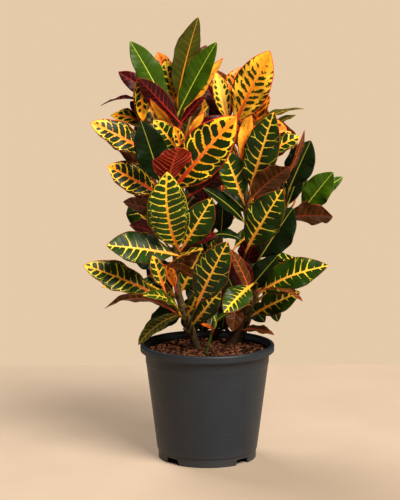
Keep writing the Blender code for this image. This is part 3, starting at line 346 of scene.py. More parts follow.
def smooth_step(x: Array | float, low: float, high: float) -> Array:
    """Returns 0 below low and 1 above high, with the cubic 3t^2 - 2t^3 between."""
    t = np.clip((np.asarray(x, float) - low) / (high - low), 0.0, 1.0)
    return t * t * (3.0 - 2.0 * t)


def smooth_path(points: Sequence[Sequence[float]], per_span: int = 3) -> Array:
    """A smooth curve through points: each span blends the two nearest parabolas.

    Args:
        points: The points to pass through, in order.
        per_span: How many points each span gets.

    Returns:
        The curve's points, one row each.
    """
    pts = np.asarray(points, float)
    ends = np.vstack([2 * pts[0] - pts[1], pts, 2 * pts[-1] - pts[-2]])
    t = (np.arange(per_span) / per_span)[None, :, None]
    p0, p1, p2, p3 = (ends[k : k + len(pts) - 1, None, :] for k in range(4))
    bend = (2 * p0 - 5 * p1 + 4 * p2 - p3) * t**2
    curve = 0.5 * (2 * p1 + (p2 - p0) * t + bend + (3 * p1 - p0 - 3 * p2 + p3) * t**3)
    return np.vstack([curve.reshape(-1, 3), pts[-1]])


def bezier(start: Array, middle: Array, end: Array, t: Array | float) -> tuple[Array, Array]:
    """Returns the parabola's points (1-t)^2 a + 2t(1-t) m + t^2 b, and its directions there."""
    point = (1 - t) ** 2 * start + 2 * t * (1 - t) * middle + t**2 * end
    return point, (1 - t) * (middle - start) + t * (end - middle)


def stem_point(path: Array, z: float) -> Array:
    """Returns the point of the path at this height, kept within the path's own span."""
    z = float(np.clip(z, path[0][2] + STEM_FOOT_ROOM, path[-1][2] - STEM_TOP_ROOM))
    return np.array([np.interp(z, path[:, 2], path[:, k]) for k in (0, 1)] + [z])


def pot_axis() -> Array:
    """Returns where the pot's axis meets the ground, in metres: the middle of the pot's box."""
    low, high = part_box("pot")
    return np.array([(low.x + high.x) / 2, (low.y + high.y) / 2, low.z])


def world(points: Array) -> Array:
    """Returns points given in millimetres from the pot's axis as metres in the frame."""
    return np.asarray(points, float) * MM + pot_axis()


def looking(place: Vector, target: Vector) -> Matrix:
    """Returns the pose of a lamp or camera at the place that looks at the target."""
    turn = (target - place).to_track_quat("-Z", "Y")
    return Matrix.Translation(place) @ turn.to_matrix().to_4x4()


# ---- surfaces ----
@dataclass
class Surface:
    """A closed surface as arrays: points, faces, and values on its points and on its faces' corners.

    Values on corners with two columns are a UV map.
    """

    points: Array
    quads: Array
    triangles: Array
    on_points: Arrays = field(default_factory=dict)
    on_corners: Arrays = field(default_factory=dict)
    slot: int = 0

    def turned(self, values: Array) -> Array:
        """Values on corners, with each face's corners in the other order.

        Args:
            values: One row for each corner, the quads' first.

        Returns:
            The rows in their new order.
        """
        count, tail = 4 * len(self.quads), values.shape[1:]
        four = values[:count].reshape(-1, 4, *tail)[:, ::-1].reshape(-1, *tail)
        three = values[count:].reshape(-1, 3, *tail)[:, ::-1].reshape(-1, *tail)
        return np.concatenate([four, three])

    def faced_out(self) -> "Surface":
        """The surface with its faces outwards: all are turned if they enclose a negative volume.

        Returns:
            The surface itself, or its turned copy.
        """
        split = np.vstack([self.quads[:, [0, 1, 2]], self.quads[:, [0, 2, 3]], self.triangles])
        tri = self.points[split]
        if np.einsum("ij,ij->i", tri[:, 0], np.cross(tri[:, 1], tri[:, 2])).sum() >= 0:
            return self
        quads, triangles = self.quads[:, ::-1], self.triangles[:, ::-1]
        on_corners = {name: self.turned(v) for name, v in self.on_corners.items()}
        return replace(self, quads=quads, triangles=triangles, on_corners=on_corners)


def tube_surface(rings: Array, ends: tuple[Array, Array]) -> Surface:
    """A closed tube: rings of points joined by quads, and a fan of triangles to a pole at each end.

    Args:
        rings: Points as (ring, place round it, 3), in millimetres from the pot's axis.
        ends: The two pole points.

    Returns:
        The surface, in metres.
    """
    count, sides = rings.shape[:2]
    i, k = np.meshgrid(np.arange(count - 1), np.arange(sides), indexing="ij")
    m = (k + 1) % sides
    quads = np.stack([i * sides + k, i * sides + m, (i + 1) * sides + m, (i + 1) * sides + k], -1)
    k, m = k[0], m[0]
    low = np.stack([np.full(sides, count * sides), m, k], -1)
    last = (count - 1) * sides
    high = np.stack([np.full(sides, count * sides + 1), last + k, last + m], -1)
    points = np.vstack([rings.reshape(-1, 3), ends[0], ends[1]])
    return Surface(world(points), quads.reshape(-1, 4), np.vstack([low, high]))


def path_rings(path: Array, radii: Array, sides: int) -> Array:
    """Circles square to a path: centre + r (cos a * across + sin a * over).

    Args:
        path: Centre points, one row each.
        radii: A radius for each centre, or one for each (centre, place round it).
        sides: How many points each circle has.

    Returns:
        Points as (ring, place round it, 3).
    """
    ways = units(np.gradient(path, axis=0))
    across = units(np.cross((0.0, 1.0, 0.2), ways))
    over = np.cross(ways, across)
    turn = circle(sides)
    radii = np.broadcast_to(np.asarray(radii, float).reshape(len(path), -1), (len(path), sides))
    ring = np.cos(turn)[None, :, None] * across[:, None] + np.sin(turn)[None, :, None] * over[:, None]
    return path[:, None] + radii[:, :, None] * ring


def make_piece(
    name: str, surfaces: Sequence[Surface], materials: Sequence[Material] = ()
) -> Piece:
    """One object from several surfaces, with their values as attributes and their maps as UV maps.

    Args:
        name: The piece's name.
        surfaces: Surfaces with points in metres; each names its material by its slot.
        materials: The materials, in slot order.

    Returns:
        The object, at the origin, shaded smooth.
    """
    points, faces, slots = [], [], []
    values: dict[str, list[Array]] = {}
    total = 0
    for surface in map(Surface.faced_out, surfaces):
        points.append(surface.points)
        faces += (surface.quads + total).tolist() + (surface.triangles + total).tolist()
        slots.append(np.full(len(surface.quads) + len(surface.triangles), surface.slot))
        total += len(surface.points)
        for key, value in (surface.on_points | surface.on_corners).items():
            values.setdefault(key, []).append(value.astype(np.float32))
    mesh = bpy.data.meshes.new(name)
    mesh.from_pydata(np.vstack(points).tolist(), [], faces)
    for key, parts in values.items():
        whole = np.concatenate(parts)
        if whole.ndim == 2:
            mesh.uv_layers.new(name=key, do_init=False).uv.foreach_set("vector", whole.ravel())
        else:
            domain = "POINT" if key in surfaces[0].on_points else "CORNER"
            mesh.attributes.new(key, "FLOAT", domain).data.foreach_set("value", whole)
    mesh.polygons.foreach_set("material_index", np.concatenate(slots).astype(np.int32))
    for material in materials:
        mesh.materials.append(material)
    mesh.shade_smooth()
    mesh.update()
    piece = bpy.data.objects.new(name, mesh)
    bpy.context.scene.collection.objects.link(piece)
    return piece


def settle(piece: Piece, slot: str, *nodes: str) -> None:
    """Rides a finished piece on the plant's one body and reports it.

    Args:
        piece: The piece.
        slot: The slot of its finish; not used.
        nodes: The solids that it stands for.
    """
    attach(piece, "root")
    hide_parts(*nodes)
    size = np.array(piece.dimensions) / MM
    log.info("%s: %d faces, %.0f x %.0f x %.0f mm", piece.name, len(piece.data.polygons), *size)


# ---- materials ----
@dataclass(frozen=True)
class Wire:
    """A value on its way through a material: sums, products and the like of wires add Math nodes."""

    shading: "Shading"
    socket: bpy.types.NodeSocket

    def __add__(self, other: "Value") -> "Wire":
        """Returns self + other."""
        return self.shading.math("ADD", self, other)

    def __sub__(self, other: "Value") -> "Wire":
        """Returns self - other."""
        return self.shading.math("SUBTRACT", self, other)

    def __rsub__(self, other: float) -> "Wire":
        """Returns other - self."""
        return self.shading.math("SUBTRACT", other, self)

    def __mul__(self, other: "Value") -> "Wire":
        """Returns self * other."""
        return self.shading.math("MULTIPLY", self, other)

    def __truediv__(self, other: "Value") -> "Wire":
        """Returns self / other."""
        return self.shading.math("DIVIDE", self, other)

    def __abs__(self) -> "Wire":
        """Returns self without its sign."""
        return self.shading.math("ABSOLUTE", self)


Value = Union[float, Triple, Wire]


class Shading:
    """A material being made: each helper adds one node and returns its output."""

    def __init__(self, name: str) -> None:
        """Starts a material with a Principled shader.

        Args:
            name: The material's name.
        """
        self.material = bpy.data.materials.new(name)
        self.material.use_nodes = True
        self.tree = self.material.node_tree
        self.shader = self.tree.nodes["Principled BSDF"]

    def put(self, socket: bpy.types.NodeSocket, value: Value) -> None:
        """Links a wire to a socket, or sets the socket's own value.

        Args:
            socket: The socket to fill.
            value: A wire, a number or a colour.
        """
        if isinstance(value, Wire):
            self.tree.links.new(value.socket, socket)
        elif isinstance(value, tuple) and socket.type == "RGBA":
            socket.default_value = (*value, 1.0)
        else:
            socket.default_value = value

    def node(self, kind: str, output: int | str, given: dict[int | str, Value], **settings: object) -> Wire:
        """Adds one node.

        Args:
            kind: The node's type.
            output: Which of its outputs is wanted.
            given: What goes into its inputs, by place or name.
            settings: The node's own settings.

        Returns:
            The wire from that output.
        """
        node = self.tree.nodes.new(f"ShaderNode{kind}")
        for name, setting in settings.items():
            setattr(node, name, setting)
        for key, value in given.items():
            self.put(node.inputs[key], value)
        return Wire(self, node.outputs[output])

    def math(self, operation: str, *values: Value, clamp: bool = False) -> Wire:
        """Returns one arithmetic step on values."""
        return self.node("Math", 0, dict(enumerate(values)), operation=operation, use_clamp=clamp)

    def vector(self, x: Value, y: Value, z: Value) -> Wire:
        """Returns three values as one vector."""
        return self.node("CombineXYZ", 0, {0: x, 1: y, 2: z})

    def step(self, value: Value, low: Value, high: Value, first: float = 0.0, last: float = 1.0) -> Wire:
        """Returns a smooth rise of value between low and high, from first to last."""
        given = dict(enumerate((value, low, high, first, last)))
        return self.node("MapRange", 0, given, interpolation_type="SMOOTHSTEP")

    def blend(self, share: Value, low: Value, high: Value) -> Wire:
        """Returns a colour between two colours."""
        return self.node("Mix", 2, {0: share, 6: low, 7: high}, data_type="RGBA")

    def attribute(self, name: str) -> Wire:
        """Returns a value stored on the mesh."""
        return self.node("Attribute", "Fac", {}, attribute_name=name)

    def place(self) -> Wire:
        """Returns the place on the object, in metres."""
        return self.node("TexCoord", "Object", {})

    def above(self, place: Wire) -> Wire:
        """Returns a place's height."""
        return self.node("SeparateXYZ", "Z", {0: place})

    def scaled(self, place: Wire, scale: Triple) -> Wire:
        """Returns a place scaled along each axis."""
        return self.node("Mapping", 0, {"Vector": place, "Scale": scale})

    def noise(self, vector: Wire, scale: float, detail: float = 2.0, rough: float = 0.5) -> Wire:
        """Returns soft noise from 0 to 1."""
        given = {"Vector": vector, "Scale": scale, "Detail": detail, "Roughness": rough}
        return self.node("TexNoise", "Fac", given)

    def draw(self, value: Wire) -> Wire:
        """Returns a draw from 0 to 1 that is the same wherever value is the same."""
        return self.node("TexWhiteNoise", "Value", {"W": value}, noise_dimensions="1D")

    def bump(self, height: Wire, strength: float, distance: float) -> None:
        """Raises the surface by height, at most distance metres."""
        given = {"Strength": strength, "Distance": distance, "Height": height}
        self.put(self.shader.inputs["Normal"], self.node("Bump", "Normal", given))

    def finish(self, colour: Wire, roughness: Value, specular: float = 0.5) -> Material:
        """Sets the shader.

        Args:
            colour: The surface's colour.
            roughness: How matt it is.
            specular: How strongly it mirrors, 0.5 being usual.

        Returns:
            The finished material.
        """
        self.put(self.shader.inputs["Base Color"], colour)
        self.put(self.shader.inputs["Roughness"], roughness)
        self.put(self.shader.inputs["Specular IOR Level"], specular)
        return self.material


# ---- leaf form ----
def half_width(u: Array, width: float) -> Array:
    """Returns half the blade's width along its length, u^a (1-u)^b: widest a little past the middle."""
    shape = u**BASE_POWER * (1.0 - u) ** TIP_POWER
    return 0.5 * width * shape / (WIDEST**BASE_POWER * (1.0 - WIDEST) ** TIP_POWER)


@dataclass(frozen=True)
class Leaf:
    """One leaf's drawn form: where its blade starts and ends, how it faces and how it bows."""

    name: str
    stem: str
    look: str
    start: Array
    tip: Array
    width: float
    face: Sequence[float]
    bow: float
    sway: float
    phase: float

    def frame(self) -> tuple[Array, Array]:
        """The blade's sideways direction, and the offset of its middle from the straight line.

        Returns:
            The direction, and the offset in millimetres.
        """
        along = self.tip - self.start
        length = np.linalg.norm(along)
        s = unit(np.cross(along, unit(self.face)))
        n = np.cross(s, along / length)
        return s, 2.0 * length * (self.bow * n + self.sway * s)

    def midrib(self, u: Array) -> tuple[Array, Array, Array]:
        """The midrib's parabola from the blade's start to its tip.

        Args:
            u: Shares of the way, from 0 to 1.

        Returns:
            The points, the directions and the blade's upward directions.
        """
        s, offset = self.frame()
        middle = 0.5 * (self.start + self.tip) + offset
        centre, way = bezier(self.start, middle, self.tip, u[:, None])
        way = units(way)
        return centre, way, np.cross(s, way)

    def lift(self, u: Array, v: Array) -> Array:
        """How far the blade stands above its midrib's plane: a V whose sides curl down and carry waves.

        Args:
            u: Shares of the way from start to tip.
            v: Shares of the way from the midrib to the margin, below 0 on one side.

        Returns:
            The heights, in millimetres.
        """
        h = half_width(u, self.width)
        side = np.abs(v)
        wave = np.sin(2 * math.pi * (WAVES_ALONG * u + self.phase + WAVE_SHIFT * np.sign(v)))
        lift = h * (side * math.sin(math.radians(FOLD)) - CURL * side**2)
        return lift + WAVE * self.width * wave * side**1.5 * np.sin(math.pi * u)

    def petiole(self, root: Array, t: Array) -> tuple[Array, Array]:
        """The petiole's parabola, which meets the blade straight on.

        Args:
            root: Where it leaves the stem.
            t: Shares of the way from there to the blade.

        Returns:
            The points and the directions.
        """
        _s, offset = self.frame()
        reach = np.linalg.norm(self.start - root)
        middle = self.start - unit(2.0 * offset + self.tip - self.start) * PETIOLE_BEND * reach
        return bezier(root, middle, self.start, t[:, None])

    def slim(self) -> float:
        """Returns how much thinner a narrow leaf's petiole is."""
        return THIN_PETIOLE if self.width < THIN_WIDTH else 1.0

    def moved(self, depth: float, tip_depth: float, rise: float, size: float) -> "Leaf":
        """The leaf as it may have been moved among its neighbours.

        Args:
            depth: How much further back its start is.
            tip_depth: How much further back its tip is.
            rise: How much higher its tip is.
            size: Its new size as a share of the drawn one.

        Returns:
            The moved leaf.
        """
        start = self.start + (0, depth, 0)
        tip = start + ((self.tip - self.start) + (0, tip_depth - depth, rise)) * size
        return replace(self, start=start, tip=tip, width=self.width * size)

    def end_rings(self) -> Array:
        """Returns the upper and lower middle points of the solid leaf's first and last blade sections."""
        centre, _way, up = self.midrib(np.array([0.0, 1.0]))
        return np.vstack([centre + up * END_HALVES, centre - up * END_HALVES])


def root_of(leaf: Leaf, path: Array) -> Array:
    """Returns where the petiole leaves the stem: below the blade's start, more so further out."""
    flat = stem_point(path, leaf.start[2])[:2] - leaf.start[:2]
    return stem_point(path, leaf.start[2] - PETIOLE_DROP - PETIOLE_SLOPE * math.hypot(*flat))


def drawn_leaves() -> Iterator[Leaf]:
    """The leaves of the drawn tables.

    Yields:
        The leaves, in order, as drawn.
    """
    rows = [(stem, row) for stem, table in DRAWN for row in table]
    for i, (stem, (name, look, start, tip, width, *form)) in enumerate(rows):
        face, bow, sway = (*form, *USUAL_FORM[len(form) :])
        start, tip = np.array(start, float), np.array(tip, float)
        yield Leaf(name, stem, look, start, tip, width, face, bow, sway, (i * PHASE_STEP) % 1.0)


def far_leaves(paths: Arrays) -> Iterator[Leaf]:
    """The leaves of the far side, by rule: up each stem at the golden angle, turned to the back.

    Args:
        paths: Each stem's path.

    Yields:
        The leaves, in order, as drawn.
    """
    draw = np.random.default_rng(FAR_SEED)
    heights, reaches = zip(*FAR_REACH)
    for stem, bottom, top, count, azimuth in FAR_SIDE:
        for i in range(count):
            share = i / max(count - 1, 1)
            out = around((azimuth + i * GOLDEN_ANGLE) % 180.0)
            tilt = FAR_RISE[0] + (FAR_RISE[1] - FAR_RISE[0]) * share
            rise = math.radians(tilt + draw.uniform(-FAR_TILT_DRAW, FAR_TILT_DRAW))
            length = draw.uniform(*FAR_LENGTH) * (1.0 - FAR_SHORTER * share)
            foot = stem_point(paths[stem], bottom + (top - bottom) * share - FAR_DROP)
            start = foot + out * FAR_OUT + (0, 0, FAR_UP)
            tip = start + length * (out * math.cos(rise) + np.array([0, 0, math.sin(rise)]))
            tip[2] = min(tip[2], FAR_TOP)
            reach = float(np.interp(tip[2], heights, reaches))
            tip[0] = float(np.clip(tip[0], -reach, reach + FAR_RIGHT_ROOM))
            middle = 0.5 * (start + tip)
            if all(low < m < high for m, (low, high) in zip(middle[[0, 2]], FAR_GAP)):
                continue
            up = FAR_FACE_UP[0] + (FAR_FACE_UP[1] - FAR_FACE_UP[0]) * share
            kinds = FAR_HIGH if share > FAR_HIGH_FROM else FAR_LOW
            look = kinds[int(draw.integers(len(kinds)))]
            width, bow, phase = draw.uniform(*FAR_WIDTH), FAR_BOW - FAR_BOW_FALL * share, draw.uniform(0, 1)
            face = out + np.array([0, 0, up])
            yield Leaf(f"far_{stem}_{i}", stem, look, start, tip, width, face, bow, 0.0, phase)


class LeafFinder:
    """Finds where each drawn leaf came to rest in its stem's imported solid."""

    NEAR = 0.06
    WORST = 0.6
    MOVE_UNITS = (6, 11, 2.4)

    def __init__(self) -> None:
        """Makes a search tree of each leafy solid's points, and puts the smallest moves first."""
        self.trees: dict[str, KDTree] = {}
        for stem in STEMS:
            mesh = frame["nodes"][stem].data
            points = np.empty(len(mesh.vertices) * 3, np.float32)
            mesh.vertices.foreach_get("co", points)
            points = (points.reshape(-1, 3) - pot_axis()) / MM
            tree = KDTree(len(points))
            for i, point in enumerate(points):
                tree.insert(point, i)
            tree.balance()
            self.trees[stem] = tree
        tries = [(a, b, c) for a in START_DEPTHS for b in TIP_DEPTHS for c in TIP_RISES]
        self.moves = sorted(tries, key=lambda m: (sum(abs(x) / one for x, one in zip(m, self.MOVE_UNITS)), m))

    def gap(self, leaf: Leaf) -> float:
        """Returns the mean distance from the leaf's end points to the solid's nearest points."""
        tree = self.trees[leaf.stem]
        return float(np.mean([tree.find(point)[2] for point in leaf.end_rings()]))

    def find(self, leaf: Leaf, sizes: Sequence[float]) -> Optional[Leaf]:
        """The leaf as it lies in the solid.

        Args:
            leaf: The leaf as drawn.
            sizes: The sizes that it may have been given.

        Returns:
            The moved leaf, or None where the solid has no such leaf.
        """
        tree = self.trees[leaf.stem]
        best: tuple[float, Optional[Leaf]] = (self.WORST, None)
        for size in sizes:
            for move in self.moves:
                moved = leaf.moved(*move, size)
                if tree.find(moved.tip)[2] > BLADE_THICK / 2 + self.NEAR:
                    continue
                gap = self.gap(moved)
                if gap < self.NEAR:
                    return moved
                if gap < best[0]:
                    best = (gap, moved)
        return best[1]


# ---- leaf looks ----
@dataclass(frozen=True)
class Markings:
    """A leaf's colours, on the 0 to 255 scale, and the form of its markings.

    Lengths are in millimetres, and shares are from 0 to 1.

    Side veins leave the midrib every `spacing`, lean towards the tip by `lean`, are `vein` wide on each
    side of their line and `flare` wider at their foot, fade at `reach` of the way to the margin, and
    split by `fork` beyond their middle. Loops `loop_width` wide on each side join them at the share
    `loop` of the half width; 0 leaves them out. The green fields between are narrowed by `shrink`, and
    more near the margin, the tip and the midrib by the three values after it, and unevenly by `patchy`.
    `speckle` breaks their borders up into flecks, and `uneven` is how much the side veins differ.
    """

    dark: Triple
    light: Triple
    near: Triple
    outer: Triple
    rib_base: Triple
    rib_tip: Triple
    rim: Triple
    rib: float = 1.5
    edge: float = 0.6
    spacing: float = 10.0
    lean: float = 0.45
    vein: float = 0.7
    flare: float = 0.0
    reach: float = 0.7
    fork: float = 0.0
    loop: float = 0.0
    loop_width: float = 0.5
    shrink: float = 0.0
    shrink_edge: float = 0.0
    shrink_tip: float = 0.0
    shrink_mid: float = 0.0
    patchy: float = 0.0
    speckle: float = 0.0
    uneven: float = 0.8
    both_sides: bool = False
    # the lower face's colour: a dull green, darkened as painted shade
    under: Triple = (62, 62, 26)
    under_rib: Triple = (186, 142, 68)
    gloss: float = 0.40


YELLOW = (242, 188, 38)
PALE_YELLOW = (214, 194, 62)
RED_ORANGE = (208, 62, 34)
LEAF_DARK = (11, 28, 0)
LEAF_LIGHT = (38, 67, 1)
STALK = srgb(84, 72, 30)


class LeafLook(Enum):
    """The leaf looks that the plant carries, from old green leaves to young red and gold ones."""

    hero = Markings(
        (12, 27, 1), (35, 54, 2), (244, 146, 32), (250, 204, 46), (208, 56, 34), (244, 150, 40), RED_ORANGE,
        rib=3.5, edge=1.6, spacing=16.0, lean=0.42, vein=1.25, flare=1.8, reach=3.0, fork=0.25, loop=0.80,
        loop_width=0.95, shrink_tip=3.4, patchy=2.0, speckle=1.6,
    )
    gold = Markings(
        (32, 45, 2), (62, 72, 6), (250, 158, 34), (252, 188, 50), (232, 94, 38), (250, 172, 40), RED_ORANGE,
        rib=3.0, edge=1.4, spacing=11.0, lean=0.5, vein=1.4, flare=1.7, reach=4.0, fork=0.2, loop=0.70,
        loop_width=1.9, shrink=1.1, shrink_tip=2.6, patchy=4.0, speckle=5.0, both_sides=True,
    )
    pale = Markings(
        (30, 52, 4), (60, 84, 10), (244, 202, 84), (244, 190, 54), (234, 142, 64), (244, 204, 90),
        (218, 112, 46), rib=2.0, edge=1.0, lean=0.5, vein=1.2, reach=2.4, fork=0.2, loop=0.84,
        loop_width=0.9, shrink_mid=6.0, patchy=2.0, both_sides=True,
    )
    ladder = Markings(
        (15, 38, 0), (46, 78, 1), (244, 204, 52), (232, 214, 72), (228, 130, 38), (238, 190, 48),
        (196, 170, 42), rib=2.4, edge=0.8, spacing=10.6, lean=0.16, flare=0.9, reach=2.6, fork=0.12,
        loop=0.90, loop_width=0.25, shrink=-0.1, shrink_tip=0.6, patchy=0.6, uneven=0.5,
    )
    rib = Markings(
        LEAF_DARK, LEAF_LIGHT, (244, 198, 54), (212, 198, 56), (238, 160, 54), (244, 196, 66),
        (150, 64, 30), rib=2.5, edge=0.7, spacing=11.0, lean=0.38, vein=0.62, flare=0.9, reach=0.85,
        fork=0.3, uneven=1.3,
    )
    forked = Markings(
        (10, 28, 0), (36, 66, 1), (244, 198, 52), (222, 202, 60), (236, 150, 50), (244, 192, 60),
        (182, 78, 34), rib=2.6, edge=0.8, spacing=13.0, lean=0.4, flare=1.0, reach=1.05, fork=0.65,
        uneven=0.9,
    )
    net = Markings(
        (13, 32, 0), (42, 72, 2), (244, 196, 48), (222, 202, 60), (228, 122, 42), (240, 176, 48),
        (192, 86, 34), rib=2.3, edge=0.9, spacing=11.0, lean=0.42, flare=1.0, reach=2.2, fork=0.3,
        loop=0.86, loop_width=0.2, shrink_tip=0.9, patchy=1.6, uneven=1.0,
    )
    gold_net = Markings(
        (12, 29, 1), (33, 55, 3), (246, 152, 32), (250, 200, 46), (228, 90, 32), (244, 148, 32),
        (212, 90, 30), rib=2.9, edge=1.0, spacing=11.0, lean=0.55, vein=0.9, flare=1.3, reach=2.6, fork=0.2,
        loop=0.80, loop_width=0.6, shrink_tip=1.5, patchy=2.6, speckle=1.4,
    )
    bright_rib = Markings(
        (18, 38, 2), (42, 68, 4), (240, 192, 50), (204, 190, 54), (238, 158, 48), (246, 192, 46),
        (160, 108, 36), rib=2.8, spacing=8.5, lean=0.5, vein=0.42, flare=0.9, reach=0.85, fork=0.3,
        uneven=1.1,
    )
    bright = Markings(
        (32, 60, 2), (64, 96, 6), YELLOW, PALE_YELLOW, (242, 194, 48), PALE_YELLOW, (176, 128, 44), rib=2.0,
        spacing=9.0, vein=0.45, flare=0.9, reach=0.8, uneven=1.0,
    )
    plain = Markings(
        (5, 16, 1), (16, 38, 2), (22, 46, 4), (22, 46, 4), (172, 158, 56), (148, 152, 46), (44, 50, 12),
        rib=1.0, edge=0.3, spacing=10.5, vein=0.3,
    )
    fresh = Markings(
        (36, 62, 1), (62, 90, 4), (74, 104, 10), (74, 104, 10), (194, 198, 68), (176, 192, 64),
        (102, 124, 28), rib=1.0, edge=0.4, vein=0.3, both_sides=True,
    )
    olive = Markings(
        (44, 48, 5), (76, 76, 12), (108, 100, 24), (94, 92, 20), (212, 132, 30), (192, 134, 34),
        (116, 80, 22), rib=1.4, edge=0.4, spacing=9.5, vein=0.4, reach=0.9, both_sides=True,
    )
    # dark brownish olive leaves: a real olive, darkened as painted shade
    dusk = Markings(
        (26, 30, 6), (54, 54, 14), (112, 100, 32), (86, 82, 26), (166, 116, 38), (132, 100, 34),
        (96, 74, 24), spacing=8.0, vein=0.5, reach=1.8, fork=0.3, loop=0.8, patchy=1.2, both_sides=True,
    )
    # deep red leaves: a real deep red, darkened further as painted shade
    maroon = Markings(
        (32, 4, 6), (66, 10, 12), (142, 26, 26), (114, 20, 22), (168, 38, 32), (142, 28, 28), (124, 22, 22),
        rib=1.2, spacing=9.0, lean=0.6, vein=0.55, reach=1.5, both_sides=True,
    )
    red = Markings(
        (84, 19, 11), (138, 38, 23), (224, 86, 56), (212, 74, 52), (228, 96, 58), (224, 84, 54),
        (200, 56, 42), rib=1.8, edge=1.6, spacing=8.5, lean=0.55, vein=1.3, reach=3.0, both_sides=True,
        uneven=0.4,
    )
    sunset = Markings(
        (48, 46, 5), (78, 60, 12), (232, 104, 28), (240, 146, 36), (216, 72, 32), (234, 114, 34),
        (200, 58, 30), rib=2.0, edge=1.0, spacing=9.0, vein=1.4, flare=1.2, reach=3.0, loop=0.75,
        loop_width=1.2, shrink=0.6, shrink_tip=1.4, patchy=2.8, speckle=3.0, both_sides=True,
    )
    brown = Markings(
        (58, 36, 12), (100, 58, 22), (166, 90, 42), (146, 82, 38), (194, 80, 46), (176, 76, 42),
        (146, 50, 30), rib=1.2, edge=0.9, vein=0.5, reach=1.2, both_sides=True,
    )


class LeafPaint:
    """Makes the material of one leaf look from values stored on the blade.

    The blade carries `along` and `across`, millimetres along the midrib and from it, `half`, its half
    width there, `under`, 1 on the lower face, `stalk`, 1 on the petiole, and `seed`, the leaf's own draw.
    Side veins are counted by `order`, a number that grows by one from each vein to the next.
    """

    SWEEP = 0.22  # how much the side veins bend towards the tip
    STAGGER = 0.23  # how far one side's veins are ahead, in veins
    WANDER = 0.2  # how much single veins waver
    DRIFT = 0.7  # how much their spacing changes along the blade
    NARROWER = 0.9  # the gap between leaning veins as a share of their spacing
    RIB_TAPER = 0.72  # how much narrower the midrib is at the tip
    FLARE_FALL = -0.28  # how fast a vein's foot narrows, for each millimetre
    FORK_FROM = 0.4  # where veins part in two, as a share of the half width
    LOOP_SAG = 0.14  # how much lower a loop hangs at its side veins
    LOOP_DRAW = 0.2  # how much the loops' places differ
    CORNERS = (2.4, 1.6, 1.2)  # how round the fields' corners are at veins, midrib and loops

    def __init__(self, name: str, look: Markings) -> None:
        """Takes the look to paint."""
        self.look = look
        self.shading = Shading(f"leaf_{name}")

    def lines(self) -> None:
        """Works out the distances that every marking is drawn from."""
        s, look = self.shading, self.look
        self.seed = s.attribute("seed")
        self.half = s.attribute("half")
        self.along = s.attribute("along")
        signed = s.attribute("across")
        self.side = s.math("SIGN", signed)
        flat = s.vector(self.along, signed, self.seed * 91.0)
        self.ragged = s.noise(flat, 0.3, 4.0, 0.62) - 0.5
        self.grain = s.noise(flat, 1.4)
        self.broad = s.noise(flat, 0.035, 1.0)
        self.out = abs(signed)
        self.share = self.out / self.half
        self.inner = self.half - self.out
        self.upto = self.along / s.attribute("length")
        foot = self.along - self.out * look.lean - self.out * self.share * self.SWEEP
        order = foot / look.spacing + self.side * self.STAGGER + self.ragged * self.WANDER
        self.order = order + (self.broad - 0.5) * self.DRIFT + self.seed * 7.0
        self.number = s.math("FLOOR", self.order)
        self.aside = abs(self.order - self.number - 0.5)
        self.from_line = self.aside * (look.spacing * self.NARROWER)
        width = (1.0 - self.upto * self.RIB_TAPER) * look.rib
        self.rib_width = width + self.ragged * (0.5 * look.rib)

    def band(self, distance: Wire, width: Wire, soft: float = 0.35) -> Wire:
        """Returns 1 within the width of a line and 0 beyond it, with a soft border."""
        return self.shading.step(width - distance, -soft, soft)

    def vein_depth(self) -> Wire:
        """How far a point lies from the border of the nearest side vein, below 0 inside the vein.

        Each vein has its own strength, which sets its reach and width; it thins towards its end, and
        beyond its own middle its line parts in two.

        Returns:
            The distance in millimetres.
        """
        s, look = self.shading, self.look
        one = s.draw(self.number * 1.7 + self.side * 0.31)
        strength = one * look.uneven + (0.9 - 0.5 * look.uneven)
        left = s.math("SUBTRACT", 1.0, self.share / (strength * look.reach), clamp=True)
        width = s.math("POWER", left, 0.7) * (strength * look.vein)
        beyond = s.math("MAXIMUM", self.out - self.rib_width, 0.0)
        flare = s.math("EXPONENT", beyond * self.FLARE_FALL) * look.flare
        width = width + flare * strength - s.step(left, 0.2, 0.0) * 1.5
        parting = s.math("MAXIMUM", self.share - (one * 0.3 + self.FORK_FROM), 0.0)
        return abs(self.from_line - parting * (self.half * look.fork)) - width

    def field_depth(self, from_vein: Wire) -> Wire:
        """How deep a point is inside a green field.

        A field is bounded by the midrib, its two side veins and the loop that joins them; small fields,
        set a little aside from it, lie between the loop and the margin. The depth is the smooth least of
        the distances to the bounds, so the fields' corners are round.

        Args:
            from_vein: How far the point lies from the border of the nearest side vein.

        Returns:
            The depth in millimetres, below 0 between the fields.
        """
        s, look = self.shading, self.look
        at_vein, at_rib, at_loop = self.CORNERS
        own = s.draw(s.math("FLOOR", self.order + 0.5) + self.side * 0.37)
        bend = 1.0 - self.aside * 2.0
        arch = own * self.LOOP_DRAW + (look.loop - 0.5 * self.LOOP_DRAW) - bend * bend * self.LOOP_SAG
        beyond = (self.share - arch) * self.half
        inside = s.math("SMOOTH_MIN", beyond * -1.0 - look.loop_width, from_vein, at_vein)
        inside = s.math("SMOOTH_MIN", inside, self.out - self.rib_width, at_rib)
        between = abs(s.math("FRACT", self.order + own * 0.5) - 0.5)
        small = between * (look.spacing * self.NARROWER) - 0.35 * look.vein
        small = s.math("SMOOTH_MIN", small, beyond - look.loop_width, at_loop)
        return s.math("MAXIMUM", inside, small)

    def narrowing(self) -> Wire:
        """How much the green fields are narrowed at a point.

        Returns:
            The width in millimetres.
        """
        s, look = self.shading, self.look
        width = s.step(self.share, 0.4, 1.0) * look.shrink_edge + look.shrink
        width = width + s.step(self.upto, 0.66, 1.0) * look.shrink_tip
        width = width + s.step(self.share, 0.6, 0.1) * look.shrink_mid
        return width + (self.broad - 0.5) * look.patchy

